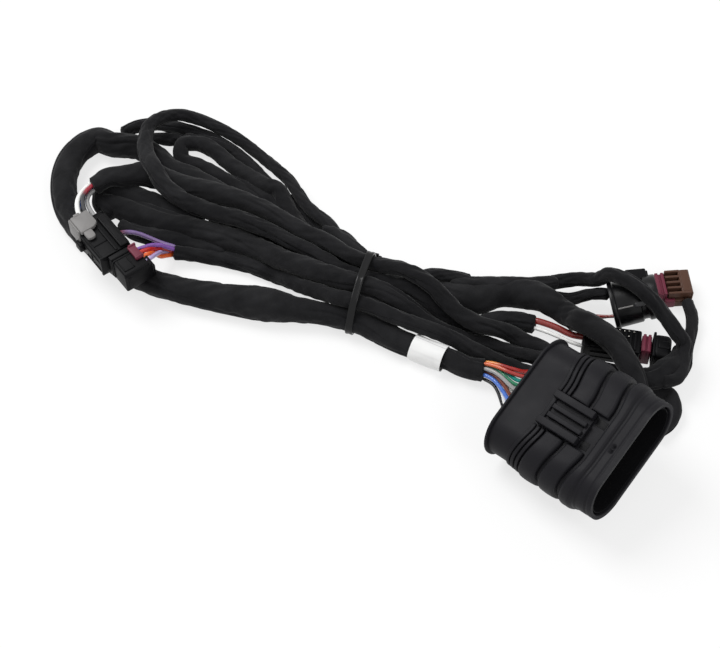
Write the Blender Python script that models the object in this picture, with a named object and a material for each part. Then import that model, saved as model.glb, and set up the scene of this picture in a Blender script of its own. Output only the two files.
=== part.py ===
"""Vehicle wiring harness, folded into a flat hank and held by one cable tie.

A taped main loom runs from a large oval connector, through the tie, round the left end of the hank
and back. Thinner taped looms run beside it and end in wires that enter the small connectors.
Lengths are in metres, +Z is up, and the hank lies on the plane z = 0.
"""
import math

import bmesh
import bpy
import numpy as np
from mathutils import Matrix, Vector

MM = 0.001

# Gaps that touching pieces keep
SEAT_GAP = 0.3 * MM
LOOM_GAP = 0.4 * MM
WIRE_GAP = 0.25 * MM

# Looms
LOOM_STEP = 9.0 * MM
CORNER_ROOM = 0.9 * MM
LOOM_SIDES = 2
WIRE_SIDES = 2

# Wires
WIRE_POINTS = 8

# Hank: everything is slid by this much so that the origin is under its middle
HANK_MIDDLE = Vector((1.8 * MM, 11.9 * MM, 0.0))

# Cable tie
TIE_PLACE = (0.5 * MM, 17.5 * MM)
TIE_TURN = math.radians(-17.0)
TIE_LANE_REACH = 13.0 * MM
TIE_STRAP_W = 3.6 * MM
TIE_STRAP_T = 1.3 * MM
TIE_HEAD_L = 6.5 * MM
TIE_HEAD_W = 6.0 * MM
TIE_HEAD_H = 4.6 * MM
TIE_TAIL = 3.0 * MM
TIE_HEAD_TURN = math.radians(5.0)
TIE_SIDES = 40

# Label sleeve on the main loom
LABEL_PLACE = 23.0 * MM
LABEL_L = 16.0 * MM
LABEL_T = 0.4 * MM
LABEL_SLACK = 0.3 * MM
LABEL_RINGS = 5
LABEL_SIDES = 20

# Large oval connector, along its own mating axis
OVAL_L = 59.6 * MM
OVAL_W = 58.6 * MM
OVAL_H = 25.0 * MM
OVAL_WALL = 2.0 * MM
OVAL_LIP_L = 1.6 * MM
OVAL_LIP_RISE = 1.4 * MM
OVAL_RIDGE_RISE = 2.4 * MM
OVAL_COLLAR_RISE = 0.7 * MM
OVAL_REAR_DEPTH = 9.0 * MM
OVAL_MOUTH_DEPTH = 24.0 * MM
RIDGE_START = 16.0 * MM
RIDGE_L = 10.6 * MM
RIDGE_GROOVE = 1.6 * MM
COLLAR_RIDGE_L = 6.6 * MM
FINE_RIBS = 2
FINE_RIB_START = 9.4 * MM
FINE_RIB_PITCH = 3.2 * MM
FINE_RIB_W = 1.2 * MM
FINE_RIB_RISE = 0.6 * MM
LATCH_SADDLE_W = 17.5 * MM
LATCH_START = 17.5 * MM
LATCH_L = 20.5 * MM
LATCH_H = 4.4 * MM
LATCH_FLOOR_T = 1.2 * MM
LATCH_BARS = 4
LATCH_BAR_W = 2.4 * MM
PIN_ROWS = 3
PIN_COLUMNS = 8
PIN_PITCH = 4.8 * MM
PIN_ROW_PITCH = 5.2 * MM
PIN_SIZE = 1.5 * MM
PIN_L = 8.0 * MM
PIN_PLATE_T = 1.0 * MM
CARRIER_T = 6.0 * MM
SEAL_T = 4.0 * MM

# Connector pair at the left end of the hank
PAIR_EDGE = 1.0 * MM
PLUG_L = 24.0 * MM
PLUG_W = 12.5 * MM
PLUG_H = 12.0 * MM
PLUG_RIB_W = 3.4 * MM
PLUG_RIB_H = 1.8 * MM
PLUG_RIB_INSET = 5.0 * MM
PLUG_RAIL_W = 1.2 * MM
GREY_LOCK_L = 9.5 * MM
GREY_LOCK_T = 2.4 * MM
GREY_SKIRT = 1.5 * MM
GREY_OVERHANG = 2.0 * MM
SOCKET_L = 15.0 * MM
SOCKET_W = 15.0 * MM
SOCKET_H = 12.5 * MM
SOCKET_COLLAR_L = 4.0 * MM
SOCKET_COLLAR_RISE = 0.8 * MM
SOCKET_LOCK_L = 8.4 * MM
SOCKET_LOCK_W = 2.6 * MM
SOCKET_LOCK_H = 1.5 * MM

# Round boot, sensor plug and rear plug at the right end of the hank
BOOT_D = 24.4 * MM
BOOT_L = 22.0 * MM
BOOT_RIM = 0.8 * MM
BOOT_WALL = 2.2 * MM
BOOT_RECESS = 3.0 * MM
BOOT_MOUTH = 7.0 * MM
SENSOR_L = 11.5 * MM
SENSOR_W = 14.0 * MM
SENSOR_H = 10.0 * MM
SENSOR_EDGE = 0.8 * MM
SENSOR_SLOTS = 4
SENSOR_SLOT_W = 1.4 * MM
SENSOR_SLOT_DEPTH = 3.0 * MM
SENSOR_LOCK_L = 4.8 * MM
REAR_PLUG_L = 27.0 * MM
REAR_PLUG_W = 13.0 * MM
REAR_PLUG_H = 11.5 * MM
REAR_PLUG_RIBS = 4
REAR_LOCK_L = 4.6 * MM
REAR_CAP_L = 9.0 * MM
REAR_CAP_EDGE = 2.0 * MM

# Where each connector lies: middle in millimetres, then roll, pitch and yaw in degrees
OVAL_PLACE = ((95.6, -68.4, 28.0), (20.5, -10.0, -43.2))
PLUG_PLACE = ((-122.5, 42.5, 19.4), (0.0, 0.0, -53.0))
BOOT_PLACE = ((130.4, 12.0, 13.2), (0.0, -4.0, 23.0))
SENSOR_PLACE = ((152.6, 25.0, 5.0), (0.0, 0.0, 5.0))
REAR_PLUG_PLACE = ((121.0, -11.3, 7.2), (0.0, 0.0, -10.0))

# Places in the tie's opening, across it and above the strap, in millimetres
TIE_LANES = {
    "main_out": (-13.5, 6.2),
    "main_back": (-0.8, 5.8),
    "hook": (8.6, 3.8),
    "back": (16.2, 3.4),
    "front_over": (13.6, 9.4),
    "socket": (-8.2, 15.2),
    "sensor": (0.6, 16.1),
    "front_under": (7.2, 10.6),
    "plug": (12.0, 16.3),
}

# Routes, in millimetres, chosen spot by spot, and girths at shares of the length. A name stands for
# that lane of the tie, passed towards +X, or towards -X where a minus sign leads it.
LOOMS = {
    "main_loom": dict(
        girth=((0.00, 11.0), (0.10, 10.6), (0.148, 10.8), (0.175, 16.0), (0.20, 14.2), (0.24, 13.0),
               (0.45, 12.9), (0.53, 12.7), (0.60, 12.2), (0.66, 11.0), (0.795, 11.2), (0.805, 15.0),
               (0.866, 15.2), (0.878, 11.8), (0.94, 10.6), (1.00, 9.6)),
        route=((58, -24, 5.8), (44, -14.6, 5.8), (30, -8.6, 5.8), (17, -4.8, 6), "-main_out",
               (-29, 9, 8), (-40, 11, 8), (-50, 13, 8), (-61, 16, 7), (-77, 19.6, 6.8), (-94, 23.8, 6.8),
               (-112, 33, 6.8), (-131, 51, 6.8), (-144.5, 69, 6.8), (-149.3, 88, 6.8), (-147.2, 105, 6.8),
               (-137.5, 117.3, 7), (-124, 118.8, 7), (-109, 111, 6.4), (-96, 99, 6), (-80, 87, 6),
               (-60, 73, 6), (-38, 54, 6), "main_back",
               (39, 18, 7), (56, 19.8, 8.4), (72, 21.2, 8.5), (86, 19.2, 9), (97, 7.5, 9), (108, -5, 12),
               (119, -18, 16), (127, -30, 16), (129, -40, 11), (128, -48, 6))),
    "front_loop_loom": dict(
        girth=((0.0, 6.2), (0.10, 6.2), (0.35, 5.8), (0.46, 6.4), (0.53, 8.6), (0.66, 8.6), (0.72, 6.8),
               (0.82, 8.4), (1.0, 9.0)),
        route=((53, 26.6, 11.6), (38, 26.6, 10.8), "-front_over",
               (-13, 58.5, 13), (-28, 77, 10), (-43, 99, 7), (-60, 116.5, 7), (-78, 127, 10), (-93, 129.5, 14),
               (-106, 122, 17), (-109, 107, 19), (-105, 90, 19), (-95, 77, 17), (-82, 67.5, 15),
               (-64, 59, 14), (-46, 50, 13), "front_under",
               (29, 15, 9), (43, 11, 6), (57, 9, 5.2), (71, 6, 5), (83, 2.5, 6))),
    "front_branch_loom": dict(
        girth=((0.0, 7.0), (0.5, 6.8), (1.0, 7.4)),
        route=((91.2, 25.2, 8.6), (100, 28, 8), (107.5, 27, 11), (115, 19.5, 19.5), (120, 13, 26.5),
               (125.5, 9.5, 29), (132, 5.5, 28.5), (138, 0.5, 25), (144, -5, 19), (149, -12, 13),
               (152, -19, 11), (152.5, -26, 11), (147.5, -32, 11), (139, -32.5, 11))),
    "hook_loom": dict(
        girth=((0.0, 7.0), (0.4, 8.0), (1.0, 8.0)),
        route=((27, 25.5, 4), "-hook",
               (-30, 66, 6), (-49, 87, 6), (-66, 102, 6), (-78, 114, 7), (-88, 116, 7), (-93, 109, 6),
               (-88, 101, 4), (-79, 94, 4), (-67, 89.5, 4), (-56, 84, 4), (-46, 77, 4))),
    "boot_loom": dict(
        girth=((0.0, 6.0), (1.0, 5.4)),
        route=((90.6, 20.5, 3.8), (98, 21.5, 3.6), (106, 19, 6.5), (112, 14, 10.5), (116.5, 11, 12.5))),
    "back_loom": dict(
        girth=((0.0, 6.4), (1.0, 6.4)),
        route=((-122, 123.5, 5), (-118, 129, 4), (-109, 132, 4), (-97, 130, 4), (-80, 124, 4),
               (-64, 113, 4), (-50, 97, 4), (-30, 73, 5), "back", (30, 31, 4), (42, 28.5, 4), (53, 28, 4))),
    "sensor_loom": dict(
        girth=((0.0, 10.0), (0.06, 13.6), (0.20, 13.6), (0.28, 10.6), (0.45, 9.2), (0.6, 7.0), (0.9, 5.6),
               (1.0, 5.2)),
        route=((-129, 76, 7), (-123, 75, 7), (-115.5, 71.5, 7), (-106, 66.8, 7), (-94, 61.5, 7),
               (-73, 55, 7.5), (-53, 48.5, 8), (-30, 34, 12), "sensor",
               (27, 5.5, 13), (38, 0.5, 8.5), (48, -4, 5), (60, -8.5, 4), (75, -14, 4), (91, -20, 4),
               (112, -22, 4), (131, -24, 4), (141, -26, 4), (146, -23, 4), (149.5, -17, 4), (152.5, -10, 4),
               (156, -1.5, 4), (158.6, 5.5, 4.3), (158.3, 11.8, 4.7), (155.2, 17.4, 5))),
    "socket_loom": dict(
        girth=((0.0, 7.8), (0.4, 7.4), (1.0, 6.8)),
        route=((-91, 45.5, 6), (-76, 45.5, 5), (-58, 44.5, 5), (-42, 38, 7), "socket",
               (24, 0, 13), (36, -4.5, 11), (47, -9.5, 7), (60, -16, 4), (75, -22.5, 4), (93, -30, 4),
               (116, -31, 4), (130, -31, 4), (140, -32.5, 4), (146, -36, 4), (147, -41.5, 4), (144.5, -47, 4),
               (139, -53, 4), (133.5, -56.5, 4.5))),
    "plug_loom": dict(
        girth=((0.0, 9.0), (0.08, 11.0), (0.22, 10.4), (0.36, 8.0), (0.5, 6.8), (0.7, 8.2), (1.0, 7.6)),
        route=((-132, 78.5, 16), (-124.5, 82.5, 15.5), (-116, 86.5, 14), (-107, 88.5, 13), (-95, 87, 11),
               (-80, 82, 12), (-59, 71, 14), (-36, 56, 15), "plug",
               (28, 14, 17), (40, 7, 13), (51, 1, 9), (62, -2, 6), (75, -5, 5), (88, -12, 4),
               (104, -34, 4), (114, -46, 4), (122, -55, 4.5))),
}

# Wires: colour, diameter in millimetres, the connector face that each enters and the spot there
# (across, up), then the loom that it leaves, which end, and the spot in the loom's end (right, up)
WIRES = {
    "main_wire_red": ("red", 1.9, "oval", (14.2, 2.4), "main_loom", 0, (-3.4, 2.6)),
    "main_wire_orange": ("orange", 1.9, "oval", (11.6, -0.8), "main_loom", 0, (-1.4, 4.2)),
    "main_wire_teal": ("teal", 1.9, "oval", (7.6, 2.6), "main_loom", 0, (-4.4, -0.2)),
    "main_wire_green": ("green", 1.9, "oval", (5.0, -0.8), "main_loom", 0, (-1.4, 1.6)),
    "main_wire_grey": ("grey", 1.9, "oval", (1.4, 2.4), "main_loom", 0, (0.8, 3.4)),
    "main_wire_white": ("white", 1.9, "oval", (-1.6, -1.0), "main_loom", 0, (-2.2, -1.6)),
    "main_wire_brown": ("brown", 1.9, "oval", (-4.2, 2.2), "main_loom", 0, (0.6, 0.8)),
    "main_wire_blue": ("blue", 1.9, "oval", (-7.2, -0.6), "main_loom", 0, (3.0, 1.4)),
    "main_wire_cream": ("white", 1.9, "oval", (-9.8, 2.0), "main_loom", 0, (0.4, -2.8)),
    "main_wire_black": ("black", 1.6, "oval", (-13.0, -0.6), "main_loom", 0, (3.4, -1.6)),
    "plug_wire_white": ("white", 1.9, "plug", (-3.6, 2.4), "plug_loom", 0, (1.6, 0.8)),
    "plug_wire_blue": ("blue", 1.7, "plug", (-3.6, -1.0), "plug_loom", 0, (1.2, -1.8)),
    "plug_wire_red": ("red", 1.7, "plug", (0.2, 2.0), "plug_loom", 0, (-0.8, 2.2)),
    "plug_wire_grey": ("grey", 1.7, "plug", (3.6, 0.4), "plug_loom", 0, (-1.6, -0.6)),
    "jumper_wire": ("violet", 1.7, "plug_side", (2.0, 2.6), "socket_loom", 0, (2.2, 2.0)),
    "socket_wire_violet": ("violet", 1.7, "socket", (-4.6, 1.8), "socket_loom", 0, (-0.2, 2.8)),
    "socket_wire_red": ("red", 1.7, "socket", (-1.8, 2.6), "socket_loom", 0, (0.4, 0.6)),
    "socket_wire_orange": ("orange", 1.7, "socket", (0.8, 2.2), "socket_loom", 0, (-0.6, -1.4)),
    "socket_wire_lilac": ("violet", 1.7, "socket", (3.6, 1.4), "socket_loom", 0, (1.8, -1.6)),
    "power_wire": ("red_brown", 3.2, "rear_plug", (1.8, 1.4), "front_loop_loom", 1, (-1.4, 1.2)),
    "power_wire_white": ("white", 1.9, "rear_plug", (-3.0, 0.4), "front_loop_loom", 1, (2.2, 0.2)),
    "boot_wire_maroon": ("red_brown", 1.6, "boot", (-4.6, -1.6), None, 0, (98.5, 7.5, 1.4)),
    "boot_wire_white": ("white", 1.6, "boot", (-2.0, -4.4), None, 0, (100.0, 5.0, 1.4)),
}

COLOURS = {
    "tape": ((0.016, 0.016, 0.018), 0.85, 0.0),
    "shell": ((0.020, 0.021, 0.024), 0.45, 0.0),
    "tie": ((0.012, 0.012, 0.013), 0.30, 0.0),
    "paper": ((0.80, 0.80, 0.80), 0.60, 0.0),
    "pin": ((0.60, 0.58, 0.54), 0.35, 1.0),
    "seal": ((0.03, 0.03, 0.035), 0.70, 0.0),
    "grey_plastic": ((0.25, 0.24, 0.24), 0.45, 0.0),
    "magenta": ((0.40, 0.03, 0.16), 0.45, 0.0),
    "brown_plastic": ((0.15, 0.07, 0.04), 0.50, 0.0),
    "red": ((0.60, 0.03, 0.02), 0.40, 0.0),
    "orange": ((0.75, 0.17, 0.03), 0.40, 0.0),
    "teal": ((0.02, 0.28, 0.24), 0.40, 0.0),
    "green": ((0.05, 0.22, 0.12), 0.40, 0.0),
    "grey": ((0.30, 0.30, 0.30), 0.40, 0.0),
    "white": ((0.78, 0.78, 0.76), 0.40, 0.0),
    "brown": ((0.18, 0.06, 0.03), 0.40, 0.0),
    "blue": ((0.06, 0.16, 0.55), 0.40, 0.0),
    "black": ((0.02, 0.02, 0.02), 0.40, 0.0),
    "violet": ((0.22, 0.09, 0.38), 0.40, 0.0),
    "red_brown": ((0.30, 0.04, 0.03), 0.35, 0.0),
}


def clear_scene():
    """Removes every object that the file holds."""
    for thing in list(bpy.data.objects):
        bpy.data.objects.remove(thing, do_unlink=True)


def material(name):
    """The material of that name, made once from its colour, roughness and metallic value."""
    if name in bpy.data.materials:
        return bpy.data.materials[name]
    colour, roughness, metallic = COLOURS[name]
    made = bpy.data.materials.new(name)
    made.use_nodes = True
    shader = made.node_tree.nodes["Principled BSDF"]
    shader.inputs["Base Color"].default_value = (*colour, 1.0)
    shader.inputs["Roughness"].default_value = roughness
    shader.inputs["Metallic"].default_value = metallic
    return made


def add_mesh(name, bm, finish, parent=None, smooth=35.0):
    """Turns a bmesh into a named object with its own material, under its connector's empty."""
    mesh = bpy.data.meshes.new(name)
    bmesh.ops.recalc_face_normals(bm, faces=bm.faces)
    bm.to_mesh(mesh)
    bm.free()
    mesh.shade_smooth()
    mesh.set_sharp_from_angle(angle=math.radians(smooth))
    mesh.materials.append(material(finish))
    thing = bpy.data.objects.new(name, mesh)
    bpy.context.scene.collection.objects.link(thing)
    if parent is not None:
        thing.parent = parent
    return thing


def seat_matrix(place):
    """World matrix of a connector from its middle in millimetres and its roll, pitch and yaw."""
    middle, turns = place
    roll, pitch, yaw = (math.radians(t) for t in turns)
    turn = Matrix.Rotation(yaw, 4, "Z") @ Matrix.Rotation(pitch, 4, "Y") @ Matrix.Rotation(roll, 4, "X")
    return Matrix.Translation(Vector(middle) * MM - HANK_MIDDLE) @ turn


def bridge_rings(rings):
    """Closed body whose skin runs through rings of equal counts, with its first and last ring capped."""
    bm = bmesh.new()
    loops = [[bm.verts.new(p) for p in ring] for ring in rings]
    count = len(loops[0])
    for near, far in zip(loops, loops[1:]):
        for i in range(count):
            j = (i + 1) % count
            bm.faces.new((near[i], near[j], far[j], far[i]))
    bm.faces.new(loops[0][::-1])
    bm.faces.new(loops[-1])
    return bm


def box(bm, low, high):
    """Adds a box to a bmesh from its lowest and highest corner, and gives its faces."""
    size = [b - a for a, b in zip(low, high)]
    middle = [(a + b) / 2 for a, b in zip(low, high)]
    made = bmesh.ops.create_cube(bm, size=1.0)["verts"]
    bmesh.ops.scale(bm, vec=size, verts=made)
    bmesh.ops.translate(bm, vec=middle, verts=made)
    return {face for v in made for face in v.link_faces}


def cut(thing, cutters, operation="DIFFERENCE"):
    """Booleans the given wire-frame guides into a piece, one modifier each."""
    for guide in cutters:
        guide.hide_render = True
        guide.display_type = "WIRE"
        step = thing.modifiers.new(guide.name, "BOOLEAN")
        step.operation = operation
        step.solver = "EXACT"
        step.object = guide


def guide_boxes(name, boxes, parent):
    """One guide object made of boxes that don't touch each other."""
    bm = bmesh.new()
    for low, high in boxes:
        box(bm, low, high)
    return add_mesh(name, bm, "shell", parent)


# Smooth routes

def smooth_path(spots, step):
    """Points about one step apart on a smooth curve (Catmull-Rom) through the chosen spots."""
    p = np.array(spots, float)
    p = np.vstack([2 * p[0] - p[1], p, 2 * p[-1] - p[-2]])
    t = np.linspace(0, 1, 24, endpoint=False)[:, None]
    runs = []
    for a, b, c, d in zip(p, p[1:], p[2:], p[3:]):
        runs.append(0.5 * (2 * b + (c - a) * t + (2 * a - 5 * b + 4 * c - d) * t ** 2
                           + (3 * b - a - 3 * c + d) * t ** 3))
    fine = np.vstack(runs + [p[-2][None]])
    along = np.concatenate([[0], np.cumsum(np.linalg.norm(np.diff(fine, axis=0), axis=1))])
    marks = np.linspace(0, along[-1], max(4, round(along[-1] / step) + 1))
    return np.stack([np.interp(marks, along, fine[:, k]) for k in range(3)], axis=1)


def lane_spots(lane, back):
    """Three spots through the tie's opening for one loom, towards -X where back is set."""
    across, height = (v * MM for v in TIE_LANES[lane])
    ahead = np.array([math.cos(TIE_TURN), math.sin(TIE_TURN), 0.0])
    side = np.array([-math.sin(TIE_TURN), math.cos(TIE_TURN), 0.0])
    middle = np.array([*TIE_PLACE, TIE_STRAP_T + SEAT_GAP]) + side * across + np.array([0.0, 0.0, height])
    reach = -TIE_LANE_REACH if back else TIE_LANE_REACH
    return [middle - ahead * reach, middle, middle + ahead * reach]


def loom_route(entry):
    """A loom's chosen spots in metres, with the lanes of the tie put in."""
    spots = []
    for spot in entry["route"]:
        if isinstance(spot, str):
            spots += lane_spots(spot.lstrip("-"), spot.startswith("-"))
        else:
            spots.append(np.array(spot, float) * MM)
    return np.array(spots) - np.array(HANK_MIDDLE)


def loom_radii(path, girth):
    """Radius at each point of a path, read from the girths given along its length."""
    along = np.concatenate([[0], np.cumsum(np.linalg.norm(np.diff(path, axis=0), axis=1))])
    share, width = np.array(girth).T
    return np.interp(along / along[-1], share, width) * MM / 2


# Settling: looms and wires push each other apart until they only touch

def segment_gaps(p, q, u, v):
    """Closest points of segment pairs p-q and u-v: shares along both, the vector between them and its length."""
    d1, d2, r = q - p, v - u, p - u
    a = np.einsum("ij,ij->i", d1, d1)
    e = np.einsum("ij,ij->i", d2, d2)
    b = np.einsum("ij,ij->i", d1, d2)
    c = np.einsum("ij,ij->i", d1, r)
    f = np.einsum("ij,ij->i", d2, r)
    even = np.maximum(a * e - b * b, 1e-18)
    s = np.clip((b * f - c * e) / even, 0, 1)
    t = np.clip((b * s + f) / np.maximum(e, 1e-18), 0, 1)
    s = np.clip((b * t - c) / np.maximum(a, 1e-18), 0, 1)
    between = (p + d1 * s[:, None]) - (u + d2 * t[:, None])
    return s, t, between, np.linalg.norm(between, axis=1)


def push_off_blocks(points, radii, blocks, free):
    """Moves points out of the connectors' boxes and rounds, by the shortest way."""
    for matrix, half, is_round in blocks:
        turn, middle = matrix
        local = (points - middle) @ turn
        nearest = np.clip(local, -half, half)
        radial = np.linalg.norm(local[:, 1:], axis=1)
        if is_round:
            nearest[:, 1:] = local[:, 1:] * np.minimum(1, half[1] / np.maximum(radial, 1e-9))[:, None]
        away = local - nearest
        far = np.linalg.norm(away, axis=1)
        short = radii + SEAT_GAP - far
        outside = (far > 1e-9) & (short > 0) & free
        points[outside] += (away[outside] / far[outside, None] * short[outside, None]) @ turn.T
        inside = (far <= 1e-9) & free
        for i in np.nonzero(inside)[0]:
            room = half - np.abs(local[i])
            k = int(np.argmin(room))
            push = np.zeros(3)
            if is_round and k > 0:
                push[1:] = local[i][1:] / radial[i] * (half[1] - radial[i] + radii[i] + SEAT_GAP)
            else:
                push[k] = (room[k] + radii[i] + SEAT_GAP) * (1.0 if local[i][k] >= 0 else -1.0)
            points[i] += turn @ push
    return points


def strap_height(points):
    """How high the ground lies for looms that run onto the strap, which passes under them."""
    ahead = np.array([math.cos(TIE_TURN), math.sin(TIE_TURN)])
    middle = np.array(TIE_PLACE) - np.array(HANK_MIDDLE)[:2]
    off = np.abs((points[:, :2] - middle) @ ahead) - TIE_STRAP_W
    return (TIE_STRAP_T + SEAT_GAP) * np.clip(1 - off / TIE_LANE_REACH, 0, 1)


def settle(paths, radii, gap, blocks=(), kept=(), skip_ends=0, rounds=320, hold=0.06, weight=0.04 * MM):
    """Settles paths so that their tubes touch without overlap and rest on the ground.

    Each round pulls a path to its chosen route, lets it sink a little, evens its bends and its
    step, then pushes apart the closest points of each pair of tubes. The last rounds only push.
    Kept paths don't move. Ends of a path stay where they were chosen.
    """
    sizes = [len(p) for p in paths] + [len(p) for p, _ in kept]
    points = np.vstack(list(paths) + [p for p, _ in kept])
    radius = np.concatenate(list(radii) + [r for _, r in kept])
    owner = np.repeat(np.arange(len(sizes)), sizes)
    place = np.concatenate([np.arange(n) for n in sizes])
    last = np.array([sizes[o] - 1 for o in owner])
    moving = owner < len(paths)
    loose = (moving & (place > 0) & (place < last)).astype(float)
    guarded = moving & ((place < skip_ends) | (place > last - skip_ends))
    chosen = points.copy()

    starts = np.nonzero(place < last)[0]
    rest = np.linalg.norm(points[starts + 1] - points[starts], axis=1)
    i, j = np.triu_indices(len(starts), k=1)
    a, b = starts[i], starts[j]
    same = owner[a] == owner[b]
    apart = ~same | (np.abs(place[a] - place[b]) > 3)
    both = moving[a] | moving[b]
    touching_kept = (moving[a] != moving[b])
    near_end = guarded[a] | guarded[a + 1] | guarded[b] | guarded[b + 1]
    chosen_pairs = apart & both & ~(touching_kept & near_end)
    a, b = a[chosen_pairs], b[chosen_pairs]
    reach = np.maximum(radius[a], radius[a + 1]) + np.maximum(radius[b], radius[b + 1]) + gap

    inner = np.nonzero((place > 0) & (place < last) & moving)[0]
    for turn in range(rounds):
        final = turn >= rounds * 2 // 3
        if not final:
            points += (chosen - points) * hold * loose[:, None]
            points[:, 2] -= weight * loose
            middle = (points[inner - 1] + points[inner + 1]) / 2
            points[inner] += (middle - points[inner]) * 0.12
        move = np.zeros_like(points)
        count = np.zeros(len(points))
        step = points[starts + 1] - points[starts]
        length = np.linalg.norm(step, axis=1)
        fix = step * ((length - rest) / np.maximum(length, 1e-9) * (0.1 if final else 0.25))[:, None]
        np.add.at(move, starts, fix)
        np.add.at(move, starts + 1, -fix)
        points += move * loose[:, None]

        move[:] = 0
        s, t, between, far = segment_gaps(points[a], points[a + 1], points[b], points[b + 1])
        short = reach - far
        hit = short > 0
        if hit.any():
            s, t, between, far, short = s[hit], t[hit], between[hit], np.maximum(far[hit], 1e-7), short[hit]
            ends = (a[hit], a[hit] + 1, b[hit], b[hit] + 1)
            shares = (1 - s, s, -(1 - t), -t)
            pull = sum(share ** 2 * loose[end] for share, end in zip(shares, ends))
            push = between / far[:, None] * (short / np.maximum(pull, 1e-6))[:, None]
            push *= np.minimum(1.0, 3.0 * MM / np.maximum(np.linalg.norm(push, axis=1), 1e-9))[:, None]
            for share, end in zip(shares, ends):
                np.add.at(move, end, push * share[:, None])
                np.add.at(count, end, (np.abs(share) > 0.02).astype(float))
            points += move / np.maximum(count, 1)[:, None] * loose[:, None] * 0.9
        points = push_off_blocks(points, radius, blocks, (loose > 0) & ~guarded)
        ground = radius + strap_height(points)
        low = (loose > 0) & (points[:, 2] < ground)
        points[low, 2] = ground[low]
    edges = np.cumsum([0] + sizes)
    return [points[edges[k]:edges[k + 1]] for k in range(len(paths))]


def add_cord(name, path, radii, finish, sides=LOOM_SIDES):
    """A taped loom or a wire as a bevelled curve with closed ends."""
    curve = bpy.data.curves.new(name, "CURVE")
    curve.dimensions = "3D"
    curve.bevel_depth = float(radii.max())
    curve.bevel_resolution = sides
    curve.use_fill_caps = True
    spline = curve.splines.new("POLY")
    spline.points.add(len(path) - 1)
    spline.points.foreach_set("co", np.column_stack([path, np.ones(len(path))]).ravel())
    spline.points.foreach_set("radius", radii / radii.max())
    spline.use_smooth = True
    curve.materials.append(material(finish))
    thing = bpy.data.objects.new(name, curve)
    bpy.context.scene.collection.objects.link(thing)
    return thing


# Shapes that several pieces use

def extrude_section(section, x0, x1):
    """Closed body from a (y, z) outline carried from x0 to x1."""
    return bridge_rings([[(x, y, z) for y, z in section] for x in (x0, x1)])


def rounded_block(size, edge):
    """A block of the given length, width and height with rounded edges."""
    bm = bmesh.new()
    x, y, z = (v / 2 for v in size)
    box(bm, (-x, -y, -z), (x, y, z))
    bmesh.ops.bevel(bm, geom=bm.edges[:], offset=edge, segments=2, affect="EDGES", profile=0.5)
    return bm


def turned(stations, sides=20):
    """Turned body on the X axis from its (distance, radius) stations, closed at both ends."""
    turns = [2 * math.pi * k / sides for k in range(sides)]
    return bridge_rings([[(x, r * math.cos(t), r * math.sin(t)) for t in turns] for x, r in stations])


# Large oval connector

def oval_section(x, half_w, half_h, rise=0.0, saddle_rise=0.0):
    """Ring of the oval shell at x: flat top and bottom, round ends, moved out by its rise.

    The saddle is the middle of the top, where the latch sits and the ridges stop.
    """
    flat = half_w - half_h
    saddle = LATCH_SADDLE_W / 2
    edge = 1.2 * MM
    reach = half_h + rise
    points = [(x, y, reach) for y in (flat, saddle + edge)]
    points += [(x, y, half_h + saddle_rise) for y in (saddle, -saddle)]
    points += [(x, y, reach) for y in (-saddle - edge, -flat)]
    turns = [math.pi / 2 + math.pi * k / 8 for k in range(1, 8)]
    points += [(x, -flat + reach * math.cos(t), reach * math.sin(t)) for t in turns]
    points += [(x, y, -reach) for y in (-flat, 0.0, flat)]
    points += [(x, flat - reach * math.cos(t), -reach * math.sin(t)) for t in turns]
    return points


def oval_profile():
    """Stations of the shell along its axis from the rear lip: distance, rise and rise in the saddle."""
    stations = [(0.0, OVAL_LIP_RISE, OVAL_LIP_RISE), (OVAL_LIP_L, OVAL_LIP_RISE, OVAL_LIP_RISE),
                (OVAL_LIP_L + 0.5 * MM, 0.0, 0.0)]
    for k in range(FINE_RIBS):
        start = FINE_RIB_START + k * FINE_RIB_PITCH
        stations += [(start, 0.0, 0.0), (start + 0.3 * MM, FINE_RIB_RISE, 0.0),
                     (start + FINE_RIB_W, FINE_RIB_RISE, 0.0), (start + FINE_RIB_W + 0.3 * MM, 0.0, 0.0)]
    for k, length in enumerate((RIDGE_L, RIDGE_L, COLLAR_RIDGE_L)):
        start = RIDGE_START + k * (RIDGE_L + RIDGE_GROOVE)
        last = k == 2
        stations += [(start, 0.0, 0.0),
                     (start + 1.0 * MM, OVAL_RIDGE_RISE * 0.8, OVAL_RIDGE_RISE * 0.8 if last else 0.0),
                     (start + length / 2, OVAL_RIDGE_RISE, OVAL_RIDGE_RISE if last else 0.0)]
        if not last:
            stations += [(start + length - 1.0 * MM, OVAL_RIDGE_RISE * 0.8, 0.0), (start + length, 0.0, 0.0)]
    line = RIDGE_START + 2 * (RIDGE_L + RIDGE_GROOVE) + COLLAR_RIDGE_L
    stations += [(line, OVAL_COLLAR_RISE + FINE_RIB_RISE, OVAL_COLLAR_RISE + FINE_RIB_RISE),
                 (line + 0.4 * MM, OVAL_COLLAR_RISE, OVAL_COLLAR_RISE),
                 (OVAL_L, OVAL_COLLAR_RISE, OVAL_COLLAR_RISE)]
    return stations


def oval_shell(seat):
    """The ribbed oval shell: lip, fine ribs, wrapping ridges with a saddle for the latch, collar and mouth."""
    half_w, half_h = OVAL_W / 2, OVAL_H / 2
    rear, mouth = -OVAL_L / 2, OVAL_L / 2
    inner = (half_w - OVAL_WALL, half_h - OVAL_WALL)
    rings = [oval_section(rear + OVAL_REAR_DEPTH, *inner), oval_section(rear, *inner)]
    rings += [oval_section(rear + x, half_w, half_h, rise, low) for x, rise, low in oval_profile()]
    rings += [oval_section(mouth, *inner), oval_section(mouth - OVAL_MOUTH_DEPTH, *inner)]
    return add_mesh("oval_shell", bridge_rings(rings), "shell", seat)


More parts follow.
